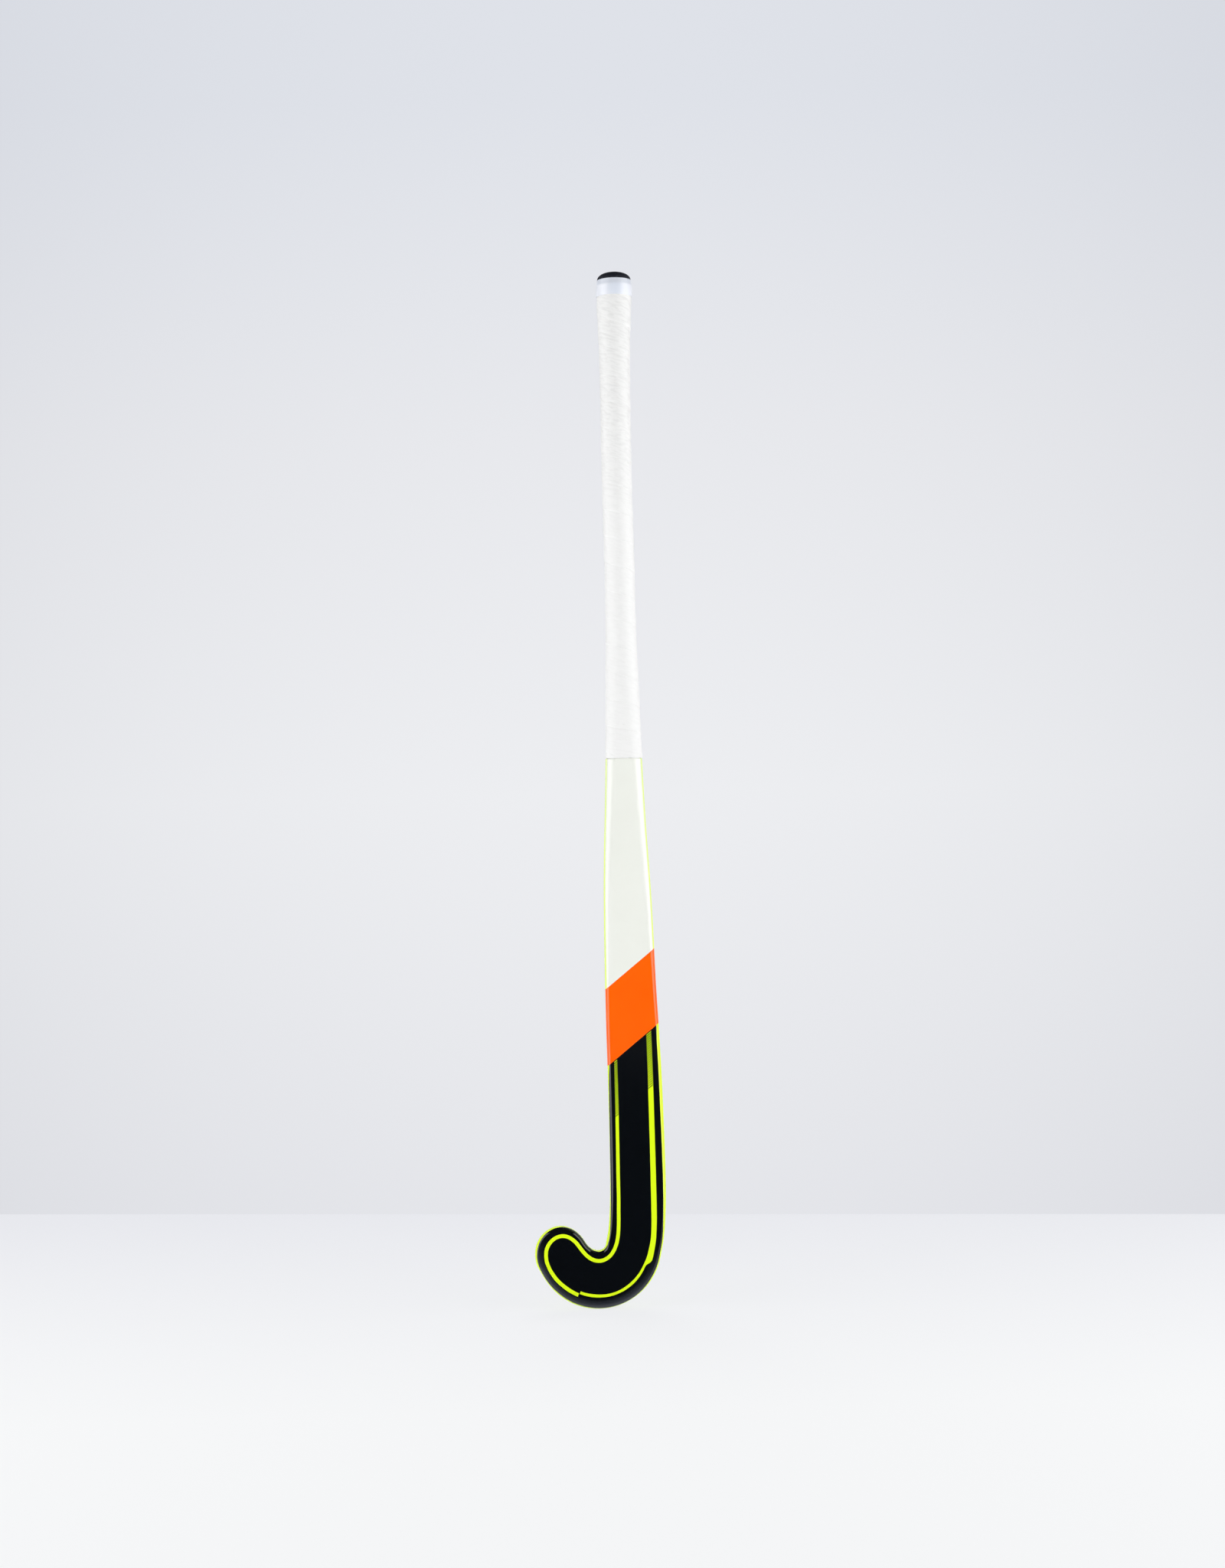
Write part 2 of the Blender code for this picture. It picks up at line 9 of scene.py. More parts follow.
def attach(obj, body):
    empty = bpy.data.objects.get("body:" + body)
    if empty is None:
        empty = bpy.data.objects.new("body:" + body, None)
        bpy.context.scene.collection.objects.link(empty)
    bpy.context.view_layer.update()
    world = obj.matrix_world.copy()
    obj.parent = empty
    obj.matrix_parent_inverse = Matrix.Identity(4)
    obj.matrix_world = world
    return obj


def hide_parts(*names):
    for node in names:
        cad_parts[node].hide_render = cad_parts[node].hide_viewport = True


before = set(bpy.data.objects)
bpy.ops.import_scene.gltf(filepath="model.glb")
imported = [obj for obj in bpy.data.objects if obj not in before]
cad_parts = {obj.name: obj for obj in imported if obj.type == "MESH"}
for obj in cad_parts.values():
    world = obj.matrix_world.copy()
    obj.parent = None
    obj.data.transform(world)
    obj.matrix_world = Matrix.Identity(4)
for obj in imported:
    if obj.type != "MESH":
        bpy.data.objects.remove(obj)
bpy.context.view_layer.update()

# The stick is one hollow laminate of carbon and glass fibre in epoxy, moulded flat-faced at the
# head and oval at the handle, then bowed. Its lacquer is printed: neon edges and back, a white
# panel, an orange panel with slanting borders, and a black head with neon keylines.

# Millimetres from here on, in the drawing that has the handle's axis on x 0. DRAWN_ORIGIN is
# where that drawing's origin lies in the model's frame.
MM = 0.001
DRAWN_ORIGIN = (29.95, -20.58, -1.26)

# The head is a short straight leg at the toe, and an arc that ends at the shaft's foot.
TOE_LEG = 10.4
HOOK_RADIUS = 31.7
HOOK_CENTRE = (-32.3, 58.0)
HOOK_TOE_ANGLE = math.radians(-150)
HOOK_HEEL_ANGLE = math.radians(-10)
HOOK_RUN = TOE_LEG + HOOK_RADIUS * (HOOK_HEEL_ANGLE - HOOK_TOE_ANGLE)
SHAFT_FOOT = HOOK_CENTRE[1] + HOOK_RADIUS * math.sin(HOOK_HEEL_ANGLE)
# The shell steps in between these heights, where the grip starts.
STEP_BASE = 491.2
STEP_TOP = 491.7
SHELL_TOP = 912.2

# (distance from the toe's centre, value)
HEAD_DRIFT = [
    (0, 1.9), (3, 1.82), (6, 1.7), (8, 1.52), (9.2, 1.29), (10.4, 1.03), (12, 0.95), (16, 0.79),
    (22, 0.45), (30, 0.2), (46, -0.15), (60, -0.1), (74, 0.1), (88, 0),
]
HEAD_HALF_WIDTH = [
    (0, 23.7), (3, 23.78), (6, 23.9), (8, 24.07), (9.2, 24.29), (10.4, 24.52), (12, 24.6),
    (16, 24.73), (24, 25.1), (32, 25.25), (88, 25.2),
]
# (degrees round the toe's end from the outer edge, value)
TOE_REACH = [
    (0, 23.7), (18, 23.0), (36, 22.65), (63, 22.7), (90, 22.95), (108, 23.25), (126, 23.4),
    (144, 23.25), (162, 23.25), (180, 23.7),
]
# (height, value)
SHAFT_HALF_WIDTH = [
    (52, 25.2), (84, 25.2), (122, 25.0), (204, 24.4), (245, 23.9), (289, 23.0), (335, 22.2),
    (371, 21.3), (404, 20.0), (436, 18.5), (485, 16.6), (STEP_BASE, 16.4), (STEP_TOP, 15.1),
    (510, 14.2), (543, 13.3), (576, 12.5), (592, 11.9), (634, 11.5), (790, 11.4), (839, 11.6),
    (867, 12.2), (884, 12.9), (898, 13.4), (SHELL_TOP, 13.2),
]
SHAFT_SWAY = [
    (SHAFT_FOOT, HOOK_CENTRE[0] + HOOK_RADIUS * math.cos(HOOK_HEEL_ANGLE)), (66, 1.7), (81, 3.2),
    (102, 4.15), (122, 4.4), (143, 4.35), (204, 3.6), (245, 2.6), (289, 1.6), (349, 0.85),
    (376, 0.5), (430, 0), (660, 0), (745, -0.7), (868, -0.2), (SHELL_TOP, 0.5),
]
TOE_DEPTH = 19.4
SHAFT_DEPTH = [
    (52, 20.4), (204, 21.2), (335, 23.2), (436, 25.2), (STEP_BASE, 26.2), (STEP_TOP, 23.6),
    (592, 24.6), (839, 24.6), (898, 25.8), (SHELL_TOP, 25.8),
]
# 0 is the flat-faced form, and 1 the oval.
ROUNDNESS = [(230, 0.0), (335, 0.14), (436, 0.42), (485, 0.6), (560, 0.9), (610, 1.0)]
FACE_CORNER = 3.8
WIDEST_BEHIND_FACE = 5.6
BACK_FULLNESS = 2.3

BOW_DEPTH = 22.0
FLAT_HEAD_TOP = 80.0
BOW_DEEPEST = 230.0
BOW_CURVE_END = 450.0

GUARD_FACE_WIDTH = 9.4
GUARD_TOE_ANGLE = math.radians(-114)
GUARD_HEEL_ANGLE = math.radians(-18)

# A section's points are placed by degrees round it. The flat face takes up the first ones.
FACE_DEGREES = 18
BESIDE_CORNER = 0.4
CORNER_STEPS = 10
BACK_STEPS = 16
TOE_FAN_STEPS = 60
TOE_LEG_STEPS = 8
HOOK_STEP = math.radians(2)
HOOK_STEPS = 70
# Rows are close together up the shaft's foot, and wider apart above it.
CLOSE_ROW = 1.5
CLOSE_ROWS = 39
WIDE_ROWS_BASE = 112
WIDE_ROWS = 63
HANDLE_ROWS = 52


def spread(low, high, steps):
    """Evenly spaced numbers from low to high."""
    return [low + (high - low) * i / steps for i in range(steps + 1)]


def follow(table, place):
    """A smooth value from (place, value) pairs that never overshoots a pair."""
    if place <= table[0][0]:
        return table[0][1]
    if place >= table[-1][0]:
        return table[-1][1]
    last = max(i for i in range(len(table) - 1) if table[i][0] <= place)
    chords = [(b[1] - a[1]) / (b[0] - a[0]) for a, b in zip(table, table[1:])]
    chords = [chords[0]] + chords + [chords[-1]]

    def slope(i):
        before, after = chords[i], chords[i + 1]
        return 0.0 if before * after <= 0 else 2 * before * after / (before + after)

    span = table[last + 1][0] - table[last][0]
    t = (place - table[last][0]) / span
    rise = table[last + 1][1] - table[last][1]
    start, end = slope(last) * span, slope(last + 1) * span
    bend = (3 * rise - 2 * start - end) * t**2 + (start + end - 2 * rise) * t**3
    return table[last][1] + start * t + bend


def spine(run):
    """(x, z) on the centre line, and the direction across it, by distance from the toe's centre."""
    if run > HOOK_RUN:
        z = SHAFT_FOOT + run - HOOK_RUN
        lean = math.atan((follow(SHAFT_SWAY, z + 1) - follow(SHAFT_SWAY, z - 1)) / 2)
        return follow(SHAFT_SWAY, z), z, -lean
    turn = HOOK_TOE_ANGLE + max(run - TOE_LEG, 0) / HOOK_RADIUS
    back = max(TOE_LEG - run, 0)
    reach = HOOK_RADIUS + follow(HEAD_DRIFT, run)
    x = HOOK_CENTRE[0] + reach * math.cos(turn) + back * math.sin(turn)
    z = HOOK_CENTRE[1] + reach * math.sin(turn) - back * math.cos(turn)
    return x, z, turn


def half_width(run):
    if run > HOOK_RUN:
        return follow(SHAFT_HALF_WIDTH, SHAFT_FOOT + run - HOOK_RUN)
    return follow(HEAD_HALF_WIDTH, run)


def section_size(run, lift=0.0):
    """(half width, depth, share of an oval) of the section at a place, grown by a lift."""
    height = SHAFT_FOOT + run - HOOK_RUN
    depth = follow(SHAFT_DEPTH, height)
    if run < TOE_LEG:
        depth -= (SHAFT_DEPTH[0][1] - TOE_DEPTH) * (1 - run / TOE_LEG)
    return half_width(run) + lift, depth + 2 * lift, follow(ROUNDNESS, height)


def section_point(w, depth, oval, degrees, lift=0.0):
    """(u, v) at an angle from the middle of the face, at 0, to the middle of the back, at 180.

    u runs across and v back from the face. The flat form's corner ends at 90.
    """
    corner, widest, full = FACE_CORNER + lift, WIDEST_BEHIND_FACE + lift, 2 / BACK_FULLNESS
    turn = math.radians(degrees)
    if degrees < FACE_DEGREES:
        u, v = degrees / FACE_DEGREES * (w - corner), 0.0
    elif degrees <= 90:
        bend = math.radians((degrees - FACE_DEGREES) / (90 - FACE_DEGREES) * 90)
        u, v = w - corner + corner * math.sin(bend), widest * (1 - math.cos(bend))
    else:
        u = w * max(math.cos(turn - math.pi / 2), 0.0) ** full if degrees < 180 else 0.0
        v = widest + (depth - widest) * math.sin(turn - math.pi / 2) ** full
    u += (w * math.sin(turn) - u) * oval
    v += (depth / 2 * (1 - math.cos(turn)) - v) * oval
    return max(u, 0.0), v - lift


def half_section(run, w=None):
    """(u, v, reach) from the middle of the face, round one edge, to the middle of the back.

    Reach is the distance in from the outline, and is negative on the back.
    """
    width, depth, oval = section_size(run)
    w = width if w is None else w
    # One point lies on the guard's seam, and one just beside the corner.
    seam = (w - GUARD_FACE_WIDTH) / (w - FACE_CORNER)
    beside = 1 - BESIDE_CORNER / (w - FACE_CORNER)
    steps = [0, seam / 4, seam / 2, seam * 3 / 4, seam, (seam + beside) / 2, beside]
    angles = [FACE_DEGREES * t for t in steps]
    angles += spread(FACE_DEGREES, 90, CORNER_STEPS) + spread(90, 180, BACK_STEPS)[1:]
    section = []
    for degrees in angles:
        u, v = section_point(w, depth, oval, degrees)
        section.append((u, v, (w - u) * (1 if degrees <= 90 else -1)))
    return section


def on_spine(run, u, v, across=None):
    """The (x, y, z) of a point of a section, before the stick is bowed."""
    x, z, turn = spine(run)
    turn = turn if across is None else across
    return x + u * math.cos(turn), v, z + u * math.sin(turn)


def select_only(thing):
    bpy.ops.object.select_all(action="DESELECT")
    thing.select_set(True)
    bpy.context.view_layer.objects.active = thing


def lay_grid(name, rows):
    """Adds a grid primitive with a vertex for each point, and lays it on the rows of points."""
    bpy.ops.object.select_all(action="DESELECT")
    bpy.ops.mesh.primitive_grid_add(x_subdivisions=len(rows[0]) - 1, y_subdivisions=len(rows) - 1)
    grid = bpy.context.object
    grid.name = grid.data.name = name
    flat = [value * MM for row in rows for point in row for value in point]
    grid.data.vertices.foreach_set("co", flat)
    grid.data.uv_layers.remove(grid.data.uv_layers[0])
    return grid


def keep_number(thing, name, values):
    """Keeps a number at each vertex for the material to read."""
    thing.data.attributes.new(name, "FLOAT", "POINT").data.foreach_set("value", values)


def edit_faces(thing, wanted=None):
    """Goes into edit mode with all faces selected, or those whose middle is wanted."""
    select_only(thing)
    bpy.ops.object.mode_set(mode="EDIT")
    bpy.ops.mesh.select_mode(type="FACE")
    bpy.ops.mesh.select_all(action="SELECT" if wanted is None else "DESELECT")
    if wanted is not None:
        bpy.ops.object.mode_set(mode="OBJECT")
        for face in thing.data.polygons:
            face.select = wanted(face)
        bpy.ops.object.mode_set(mode="EDIT")


# Vertices nearer than this are one.
MERGED = 0.004


def close_seams(thing):
    """Merges doubled vertices and turns all faces outwards."""
    edit_faces(thing)
    bpy.ops.mesh.remove_doubles(threshold=MERGED * MM)
    bpy.ops.mesh.select_all(action="SELECT")
    bpy.ops.mesh.normals_make_consistent(inside=False)
    bpy.ops.object.mode_set(mode="OBJECT")


def bow(z):
    """How far back the face lies at a height."""
    head_slope = BOW_DEPTH / (FLAT_HEAD_TOP + (BOW_DEEPEST - FLAT_HEAD_TOP) / 2)
    if z < FLAT_HEAD_TOP:
        return head_slope * z
    if z < BOW_DEEPEST:
        left = (BOW_DEEPEST - z) / (BOW_DEEPEST - FLAT_HEAD_TOP)
        return BOW_DEPTH - (BOW_DEPTH - head_slope * FLAT_HEAD_TOP) * left**2
    curve = BOW_CURVE_END - BOW_DEEPEST
    leg_slope = BOW_DEPTH / (curve / 2 + SHELL_TOP - BOW_CURVE_END)
    if z < BOW_CURVE_END:
        return BOW_DEPTH - leg_slope * (z - BOW_DEEPEST) ** 2 / (2 * curve)
    return BOW_DEPTH - leg_slope * (z - BOW_CURVE_END + curve / 2)


def bow_and_place(thing):
    """Bows a piece that was made straight, and moves it to its place in the model."""
    for vertex in thing.data.vertices:
        x, y, z = vertex.co / MM
        y += bow(z)
        vertex.co = (Vector((x, y, z)) + Vector(DRAWN_ORIGIN)) * MM


def shade(thing, angle=35):
    select_only(thing)
    bpy.ops.object.shade_smooth_by_angle(angle=math.radians(angle))


# Where the print lies, as (distance along the head and shaft, distance in from the outline).
# Outer is the heel's side, and its places below 0 are degrees round the toe's end. The keyline
# is one band between its near and far borders, and steps inwards where it is broken. Vertices
# on the toe's side all keep one place, which is below every outer one.
LINE_BREAK = 30.7
LINE_GAP = 0.5
LINE_STEPPED = LINE_BREAK + 0.3
TOE_SIDE = -200
BLACK_FROM_OUTER = [
    (-180, 0.1), (-153, 0.1), (-135, 0.25), (-117, 0.6), (-90, 1.1), (-63, 1.6), (-45, 1.8),
    (-18, 1.8), (0, 1.7), (4, 1.25), (9, 1.05), (15, 1.3), (22, 1.65), (33, 1.6), (42, 1.15),
    (60, 0.85), (75, 1.4), (90, 1.3), (98, 1.4), (114, 2.0), (128, 2.4), (145, 2.6), (225, 2.9),
    (270, 2.8), (290, 2.0), (330, 1.6), (400, 1.4), (528, 1.3),
]
BLACK_FROM_INNER = [
    (0, 0.1), (14, 0.15), (24, 0.4), (36, 0.5), (48, 0.75), (60, 0.65), (72, 0.7), (84, 1.15),
    (92, 2.0), (98, 1.75), (105, 1.4), (114, 1.1), (128, 0.75), (145, 0.4), (165, 0.25),
    (185, 0.3), (225, 0.75), (245, 1.2), (256, 2.1), (270, 2.0), (290, 1.7), (400, 1.4),
    (528, 1.2),
]
LINE_NEAR_OUTER = [
    (-180, 4.65), (-153, 5.2), (-135, 5.7), (-117, 6.55), (-99, 7.25), (-81, 7.75), (-63, 8.1),
    (-36, 8.35), (-18, 8.4), (0, 8.05), (3, 7.6), (8, 7.1), (15, 7.3), (21, 7.8), (27, 8.0),
    (LINE_BREAK, 8.1), (LINE_STEPPED, 10.9), (36, 10.8), (54, 10.5), (66, 10.6), (79.4, 11.0),
    (80.2, 10.5), (82.9, 7.5), (84, 7.1), (89, 6.85), (96, 7.0), (105, 7.5), (117, 8.0),
    (128, 8.5), (150, 8.9), (190, 8.8), (215, 8.5), (235, 8.25), (254, 7.95), (266, 7.65),
    (285, 7.3),
]
LINE_FAR_OUTER = [
    (-180, 8.0), (-162, 8.3), (-144, 8.65), (-126, 9.45), (-108, 10.15), (-90, 10.75), (-63, 11.4),
    (-36, 11.6), (-18, 11.7), (0, 11.45), (3, 10.8), (8, 10.35), (15, 10.6), (21, 11.05),
    (27, 11.25), (LINE_BREAK, 11.25), (LINE_STEPPED, 13.3), (38, 13.35), (54, 12.8),
    (69, 13.15), (79, 13.05), (88, 12.0), (96, 11.8), (105, 12.1), (117, 12.8), (128, 13.35),
    (145, 13.7), (185, 13.5), (225, 13.0), (245, 12.55), (266, 12.15), (285, 11.7),
]
LINE_NEAR_INNER = [
    (0, 4.62), (3, 4.43), (6, 4.31), (8, 4.42), (9.2, 4.65), (10.4, 4.93), (12, 4.93), (16, 5.0),
    (24, 5.6), (30, 5.93), (36, 6.25), (42, 6.5), (48, 6.6), (60, 6.46), (72, 6.3), (76, 6.36),
    (80, 6.55), (84, 6.87), (87.6, 7.17), (89.3, 7.59), (92, 7.78), (98, 7.6), (108, 7.12),
    (122, 6.43), (135, 6.1), (155, 5.7), (195, 5.85), (215, 6.1), (285, 6.4),
]
LINE_WIDTH_INNER = [(0, 3.35), (60, 3.25), (100, 3.2), (155, 3.1), (205, 2.9), (285, 2.6)]


def print_numbers(place, side, reach):
    """What the print needs at a vertex. Side is 1 on the heel's side and 0 on the toe's."""
    if side:
        borders = [follow(t, place) for t in (BLACK_FROM_OUTER, LINE_NEAR_OUTER, LINE_FAR_OUTER)]
        return place, reach, *borders
    near = follow(LINE_NEAR_INNER, place)
    far = near + follow(LINE_WIDTH_INNER, place)
    return TOE_SIDE, reach, follow(BLACK_FROM_INNER, place), near, far


def lay_skin(name, rows):
    """Lays a grid of (x, y, z, place, side, reach) points, and keeps the print's numbers on it."""
    grid = lay_grid(name, [[point[:3] for point in row] for row in rows])
    numbers = [print_numbers(*point[3:]) for row in rows for point in row]
    for i, number in enumerate(("place", "reach", "black_from", "line_near", "line_far")):
        keep_number(grid, number, [at[i] for at in numbers])
    return grid


def ring(run):
    """Once round the stick at a place: over the heel's side to the back, then the toe's side."""
    half = half_section(run)
    heel_side = [(*on_spine(run, u, v), run, 1, reach) for u, v, reach in half]
    toe_side = [(*on_spine(run, -u, v), run, 0, reach) for u, v, reach in half]
    return heel_side + toe_side[::-1][1:]


runs = spread(0, TOE_LEG, TOE_LEG_STEPS)[:-1]
runs += [TOE_LEG + HOOK_RADIUS * HOOK_STEP * i for i in range(HOOK_STEPS + 1)]
runs = sorted(runs + [LINE_BREAK, LINE_STEPPED])
heights = [SHAFT_FOOT + CLOSE_ROW * i for i in range(1, CLOSE_ROWS + 1)]
heights += spread(WIDE_ROWS_BASE, STEP_BASE, WIDE_ROWS)
heights += spread(STEP_TOP, SHELL_TOP, HANDLE_ROWS)
runs += [HOOK_RUN + height - SHAFT_FOOT for height in heights]
skin = lay_skin("stick_skin", [ring(run) for run in runs])

toe_rows = []
for degrees in spread(0, 180, TOE_FAN_STEPS):
    across = HOOK_TOE_ANGLE - math.radians(degrees)
    half = half_section(0, w=follow(TOE_REACH, degrees))
    toe_rows.append([(*on_spine(0, u, v, across), -degrees, 1, reach) for u, v, reach in half])
toe = lay_skin("toe", toe_rows)
toe.select_set(True)
skin.select_set(True)
bpy.context.view_layer.objects.active = skin
bpy.ops.object.join()
close_seams(skin)

# The butt is open: a wall of laminate round the bore that takes the plug.
WALL = 3.6
BORE_DEPTH = 50.0
edit_faces(skin, lambda face: False)
bpy.ops.mesh.select_mode(type="EDGE")
bpy.ops.mesh.select_non_manifold()
bpy.ops.mesh.edge_face_add()
bpy.ops.mesh.inset(thickness=WALL * MM)
bpy.ops.mesh.extrude_region_move(TRANSFORM_OT_translate={"value": (0, 0, -BORE_DEPTH * MM)})
bpy.ops.mesh.select_all(action="SELECT")
bpy.ops.mesh.normals_make_consistent(inside=False)
bpy.ops.object.mode_set(mode="OBJECT")


# Nearer to the flat side than this, the guard's border is the one on the face.
FACE_SIDE_DEPTH = 4.0


def on_guard(face):
    """Whether a face lies in the strip that the heel guard is let into."""
    x, y, z = face.center / MM
    x, z = x - HOOK_CENTRE[0], z - HOOK_CENTRE[1]
    turn = math.atan2(z, x)
    if not GUARD_TOE_ANGLE < turn < GUARD_HEEL_ANGLE:
        return False
    w = half_width(TOE_LEG + HOOK_RADIUS * (turn - HOOK_TOE_ANGLE))
    on_back = w * math.cos(math.pi / 4) ** (2 / BACK_FULLNESS)
    inner = w - GUARD_FACE_WIDTH if y < FACE_SIDE_DEPTH else on_back
    return math.hypot(x, z) - HOOK_RADIUS > inner


# The guard's own faces are parted from the skin here, and the skin sinks under them.
GUARD_THICKNESS = 1.6
GUARD_BED = 0.3
SEAM = 0.05
edit_faces(skin, on_guard)
bpy.ops.mesh.duplicate()
bpy.ops.mesh.separate(type="SELECTED")
bpy.ops.object.mode_set(mode="OBJECT")
guard = next(thing for thing in bpy.context.selected_objects if thing != skin)
guard.name = guard.data.name = "guard_strip"
edit_faces(skin, on_guard)
bpy.ops.mesh.extrude_region_shrink_fatten(
    TRANSFORM_OT_shrink_fatten={"value": -(GUARD_THICKNESS + GUARD_BED) * MM}
)
bpy.ops.object.mode_set(mode="OBJECT")


def soften_edges(thing, width, sharpness=50, segments=2):
    """Bevels the sharp edges of a piece."""
    edit_faces(thing, lambda face: False)
    bpy.ops.mesh.select_mode(type="EDGE")
    bpy.ops.mesh.edges_select_sharp(sharpness=math.radians(sharpness))
    bpy.ops.mesh.bevel(offset=width * MM, segments=segments, profile=0.5, clamp_overlap=True)
    bpy.ops.object.mode_set(mode="OBJECT")


soften_edges(skin, SEAM, segments=1)
bow_and_place(skin)
shade(skin)


def linear(colour):
    """Linear light from an sRGB hex colour."""
    levels = [int(colour[i : i + 2], 16) / 255 for i in (0, 2, 4)]
    levels = [v / 12.92 if v <= 0.04045 else ((v + 0.055) / 1.055) ** 2.4 for v in levels]
    return (*levels, 1.0)


def add(tree, kind, settings=None, inputs=None):
    """Adds a node with its settings, and fills its inputs with values or links."""
    made = tree.nodes.new("ShaderNode" + kind)
    for name, value in (settings or {}).items():
        setattr(made, name, value)
    for name, value in (inputs or {}).items():
        if isinstance(value, bpy.types.Node):
            value = value.outputs[0]
        if isinstance(value, bpy.types.NodeSocket):
            tree.links.new(value, made.inputs[name])
        else:
            made.inputs[name].default_value = value
    return made


def new_material(name, **finish):
    """A material with one shader, and that shader's plain values set on its own sockets."""
    material = bpy.data.materials.new(name)
    material.use_nodes = True
    tree = material.node_tree
    shader = tree.nodes["Principled BSDF"]
    for socket, value in finish.items():
        shader.inputs[socket.replace("_", " ")].default_value = value
    return material, tree, shader


# The orange panel's borders climb to the heel's side at 39 degrees. Heights are measured along
# that slant, in the model's frame, so each border is one number.
SLANT = math.tan(math.radians(39))
BLACK_TOP = 206.15
ORANGE_TOP = 275.65
HATCH_FOOT = 154.7
HATCH_TOP = 205.25
HATCH_PITCH = 2.065
HATCH_FOOT_SHARE = 0.58
HATCH_TOP_SHARE = 0.33
# As (none, full): where the hook's painted sheen and satin come in round the toe's end, down from
# the shaft and out towards the edge, and how the white fades in across its border.
SHEEN_PAST_TOE = (-75, 0)
SHEEN_BELOW_SHAFT = (92, 66)
SHEEN_OUTWARD = (9.0, 0.5)
WHITE_FADE = (-1.1, 0.5)


def print_colour(tree, drift):
    """The print's colour, worked out from the kept numbers, and how far the black takes a painted
    sheen.
    """

    def maths(operation, *values):
        return add(tree, "Math", {"operation": operation}, dict(enumerate(values)))

    def number(name):
        return add(tree, "Attribute", {"attribute_name": name}).outputs["Fac"]

    place = add(tree, "SeparateXYZ", None, {0: add(tree, "TexCoord").outputs["Object"]})
    across_slant = maths("MULTIPLY", place.outputs["X"], -SLANT)
    height = maths("DIVIDE", maths("ADD", place.outputs["Z"], across_slant), MM)
    reach = number("reach")
    on_face = maths("GREATER_THAN", reach, number("black_from"))
    in_line = maths(
        "MULTIPLY",
        maths("GREATER_THAN", reach, number("line_near")),
        maths("LESS_THAN", reach, number("line_far")),
    )
    # The line is broken once, on the heel's side, by a narrow square gap.
    cut = maths(
        "MULTIPLY",
        maths("GREATER_THAN", number("place"), LINE_BREAK),
        maths("LESS_THAN", number("place"), LINE_BREAK + LINE_GAP),
    )
    whole = maths("SUBTRACT", 1.0, cut)
    # The hatch's bars thin out upwards, from over half of their pitch to a third.
    bar = maths("FRACT", maths("DIVIDE", maths("SUBTRACT", height, HATCH_FOOT), HATCH_PITCH))
    share = add(
        tree, "MapRange", None,
        {"Value": height, 1: HATCH_FOOT, 2: HATCH_TOP, 3: HATCH_FOOT_SHARE, 4: HATCH_TOP_SHARE},
    )
    hatched = maths("LESS_THAN", height, HATCH_TOP)
    in_bar = maths("MULTIPLY", maths("LESS_THAN", bar, share), hatched)
    solid = maths("LESS_THAN", height, HATCH_FOOT)
    inked = maths("MAXIMUM", solid, in_bar)
    line = maths("MULTIPLY", maths("MULTIPLY", in_line, whole), inked)

    def over(share, under, top):
        return add(tree, "MixRGB", None, {"Fac": share, "Color1": under, "Color2": top})

    def ramp(value, start, end):
        return add(tree, "MapRange", None, {"Value": value, 1: start, 2: end, 3: 0.0, 4: 1.0})

    # Outside the keyline the hook's black is painted grey and its lacquer made satin, more so
    # towards its outer edge. The grey is a painted sheen: the pale table mirrored in the rounded
    # edge.
    past_toe = ramp(number("place"), *SHEEN_PAST_TOE)
    round_hook = maths("MULTIPLY", past_toe, ramp(number("place"), *SHEEN_BELOW_SHAFT))
    painted_sheen_and_satin = maths("MULTIPLY", ramp(reach, *SHEEN_OUTWARD), round_hook)
    # The grey mixed into the black is a painted sheen.
    black = over(painted_sheen_and_satin, linear("070A0E"), linear("31363F"))
    neon = over(drift, linear("DBF913"), linear("E1FD1F"))
    white = over(drift, linear("E6E8E0"), linear("EBEDE6"))
    orange = over(drift, linear("FD5D00"), linear("FF6503"))
    above = maths("GREATER_THAN", height, ORANGE_TOP)
    below = maths("LESS_THAN", height, BLACK_TOP)
    # The white is sprayed up to the neon with a soft edge. The black has a sharp one.
    fade = ramp(maths("SUBTRACT", reach, number("black_from")), *WHITE_FADE)
    colour = over(above, over(on_face, neon, over(line, black, neon)), over(fade, neon, white))
    band = maths("SUBTRACT", 1.0, maths("MAXIMUM", above, below))
    return over(band, colour, orange), painted_sheen_and_satin


def lacquered(name, grain, depth):
    """A printed surface under clear lacquer, with an unevenness of a width and depth in mm."""
    material, tree, shader = new_material(
        name, Roughness=0.6, Specular_IOR_Level=0.0, Coat_Weight=1.0, Coat_IOR=1.5
    )
    place = add(tree, "TexCoord").outputs["Object"]
    # The inks' tones drift a little over 30 mm.
    drift = add(tree, "TexNoise", None, {"Vector": place, "Scale": 1 / (30 * MM), "Detail": 3.0})
    colour, painted_sheen_and_satin = print_colour(tree, drift)
    tree.links.new(colour.outputs[0], shader.inputs["Base Color"])
    # The lacquer is glossy, and satin where the black has its painted sheen.
    dulled = add(tree, "MapRange", None, {"Value": painted_sheen_and_satin, 1: 0.0, 2: 1.0, 3: 0.08, 4: 0.36})
    tree.links.new(dulled.outputs[0], shader.inputs["Coat Roughness"])
    peel = add(tree, "TexNoise", None, {"Vector": place, "Scale": 1 / (grain * MM), "Detail": 2.0})
    bump = add(tree, "Bump", None, {"Strength": 1.0, "Distance": depth * MM, "Height": peel})
    tree.links.new(bump.outputs[0], shader.inputs["Normal"])
    tree.links.new(bump.outputs[0], shader.inputs["Coat Normal"])
    return material


# Polyurethane lacquer over screen print: the ink under it is matt, and the clear coat alone
# mirrors, with the faint waviness of sprayed lacquer 9 mm from crest to crest.
gloss = lacquered("polyurethane_lacquer_over_print", 9.0, 0.006)
skin.data.materials.clear()
skin.data.materials.append(gloss)
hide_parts("stick_shell")
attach(skin, "root")

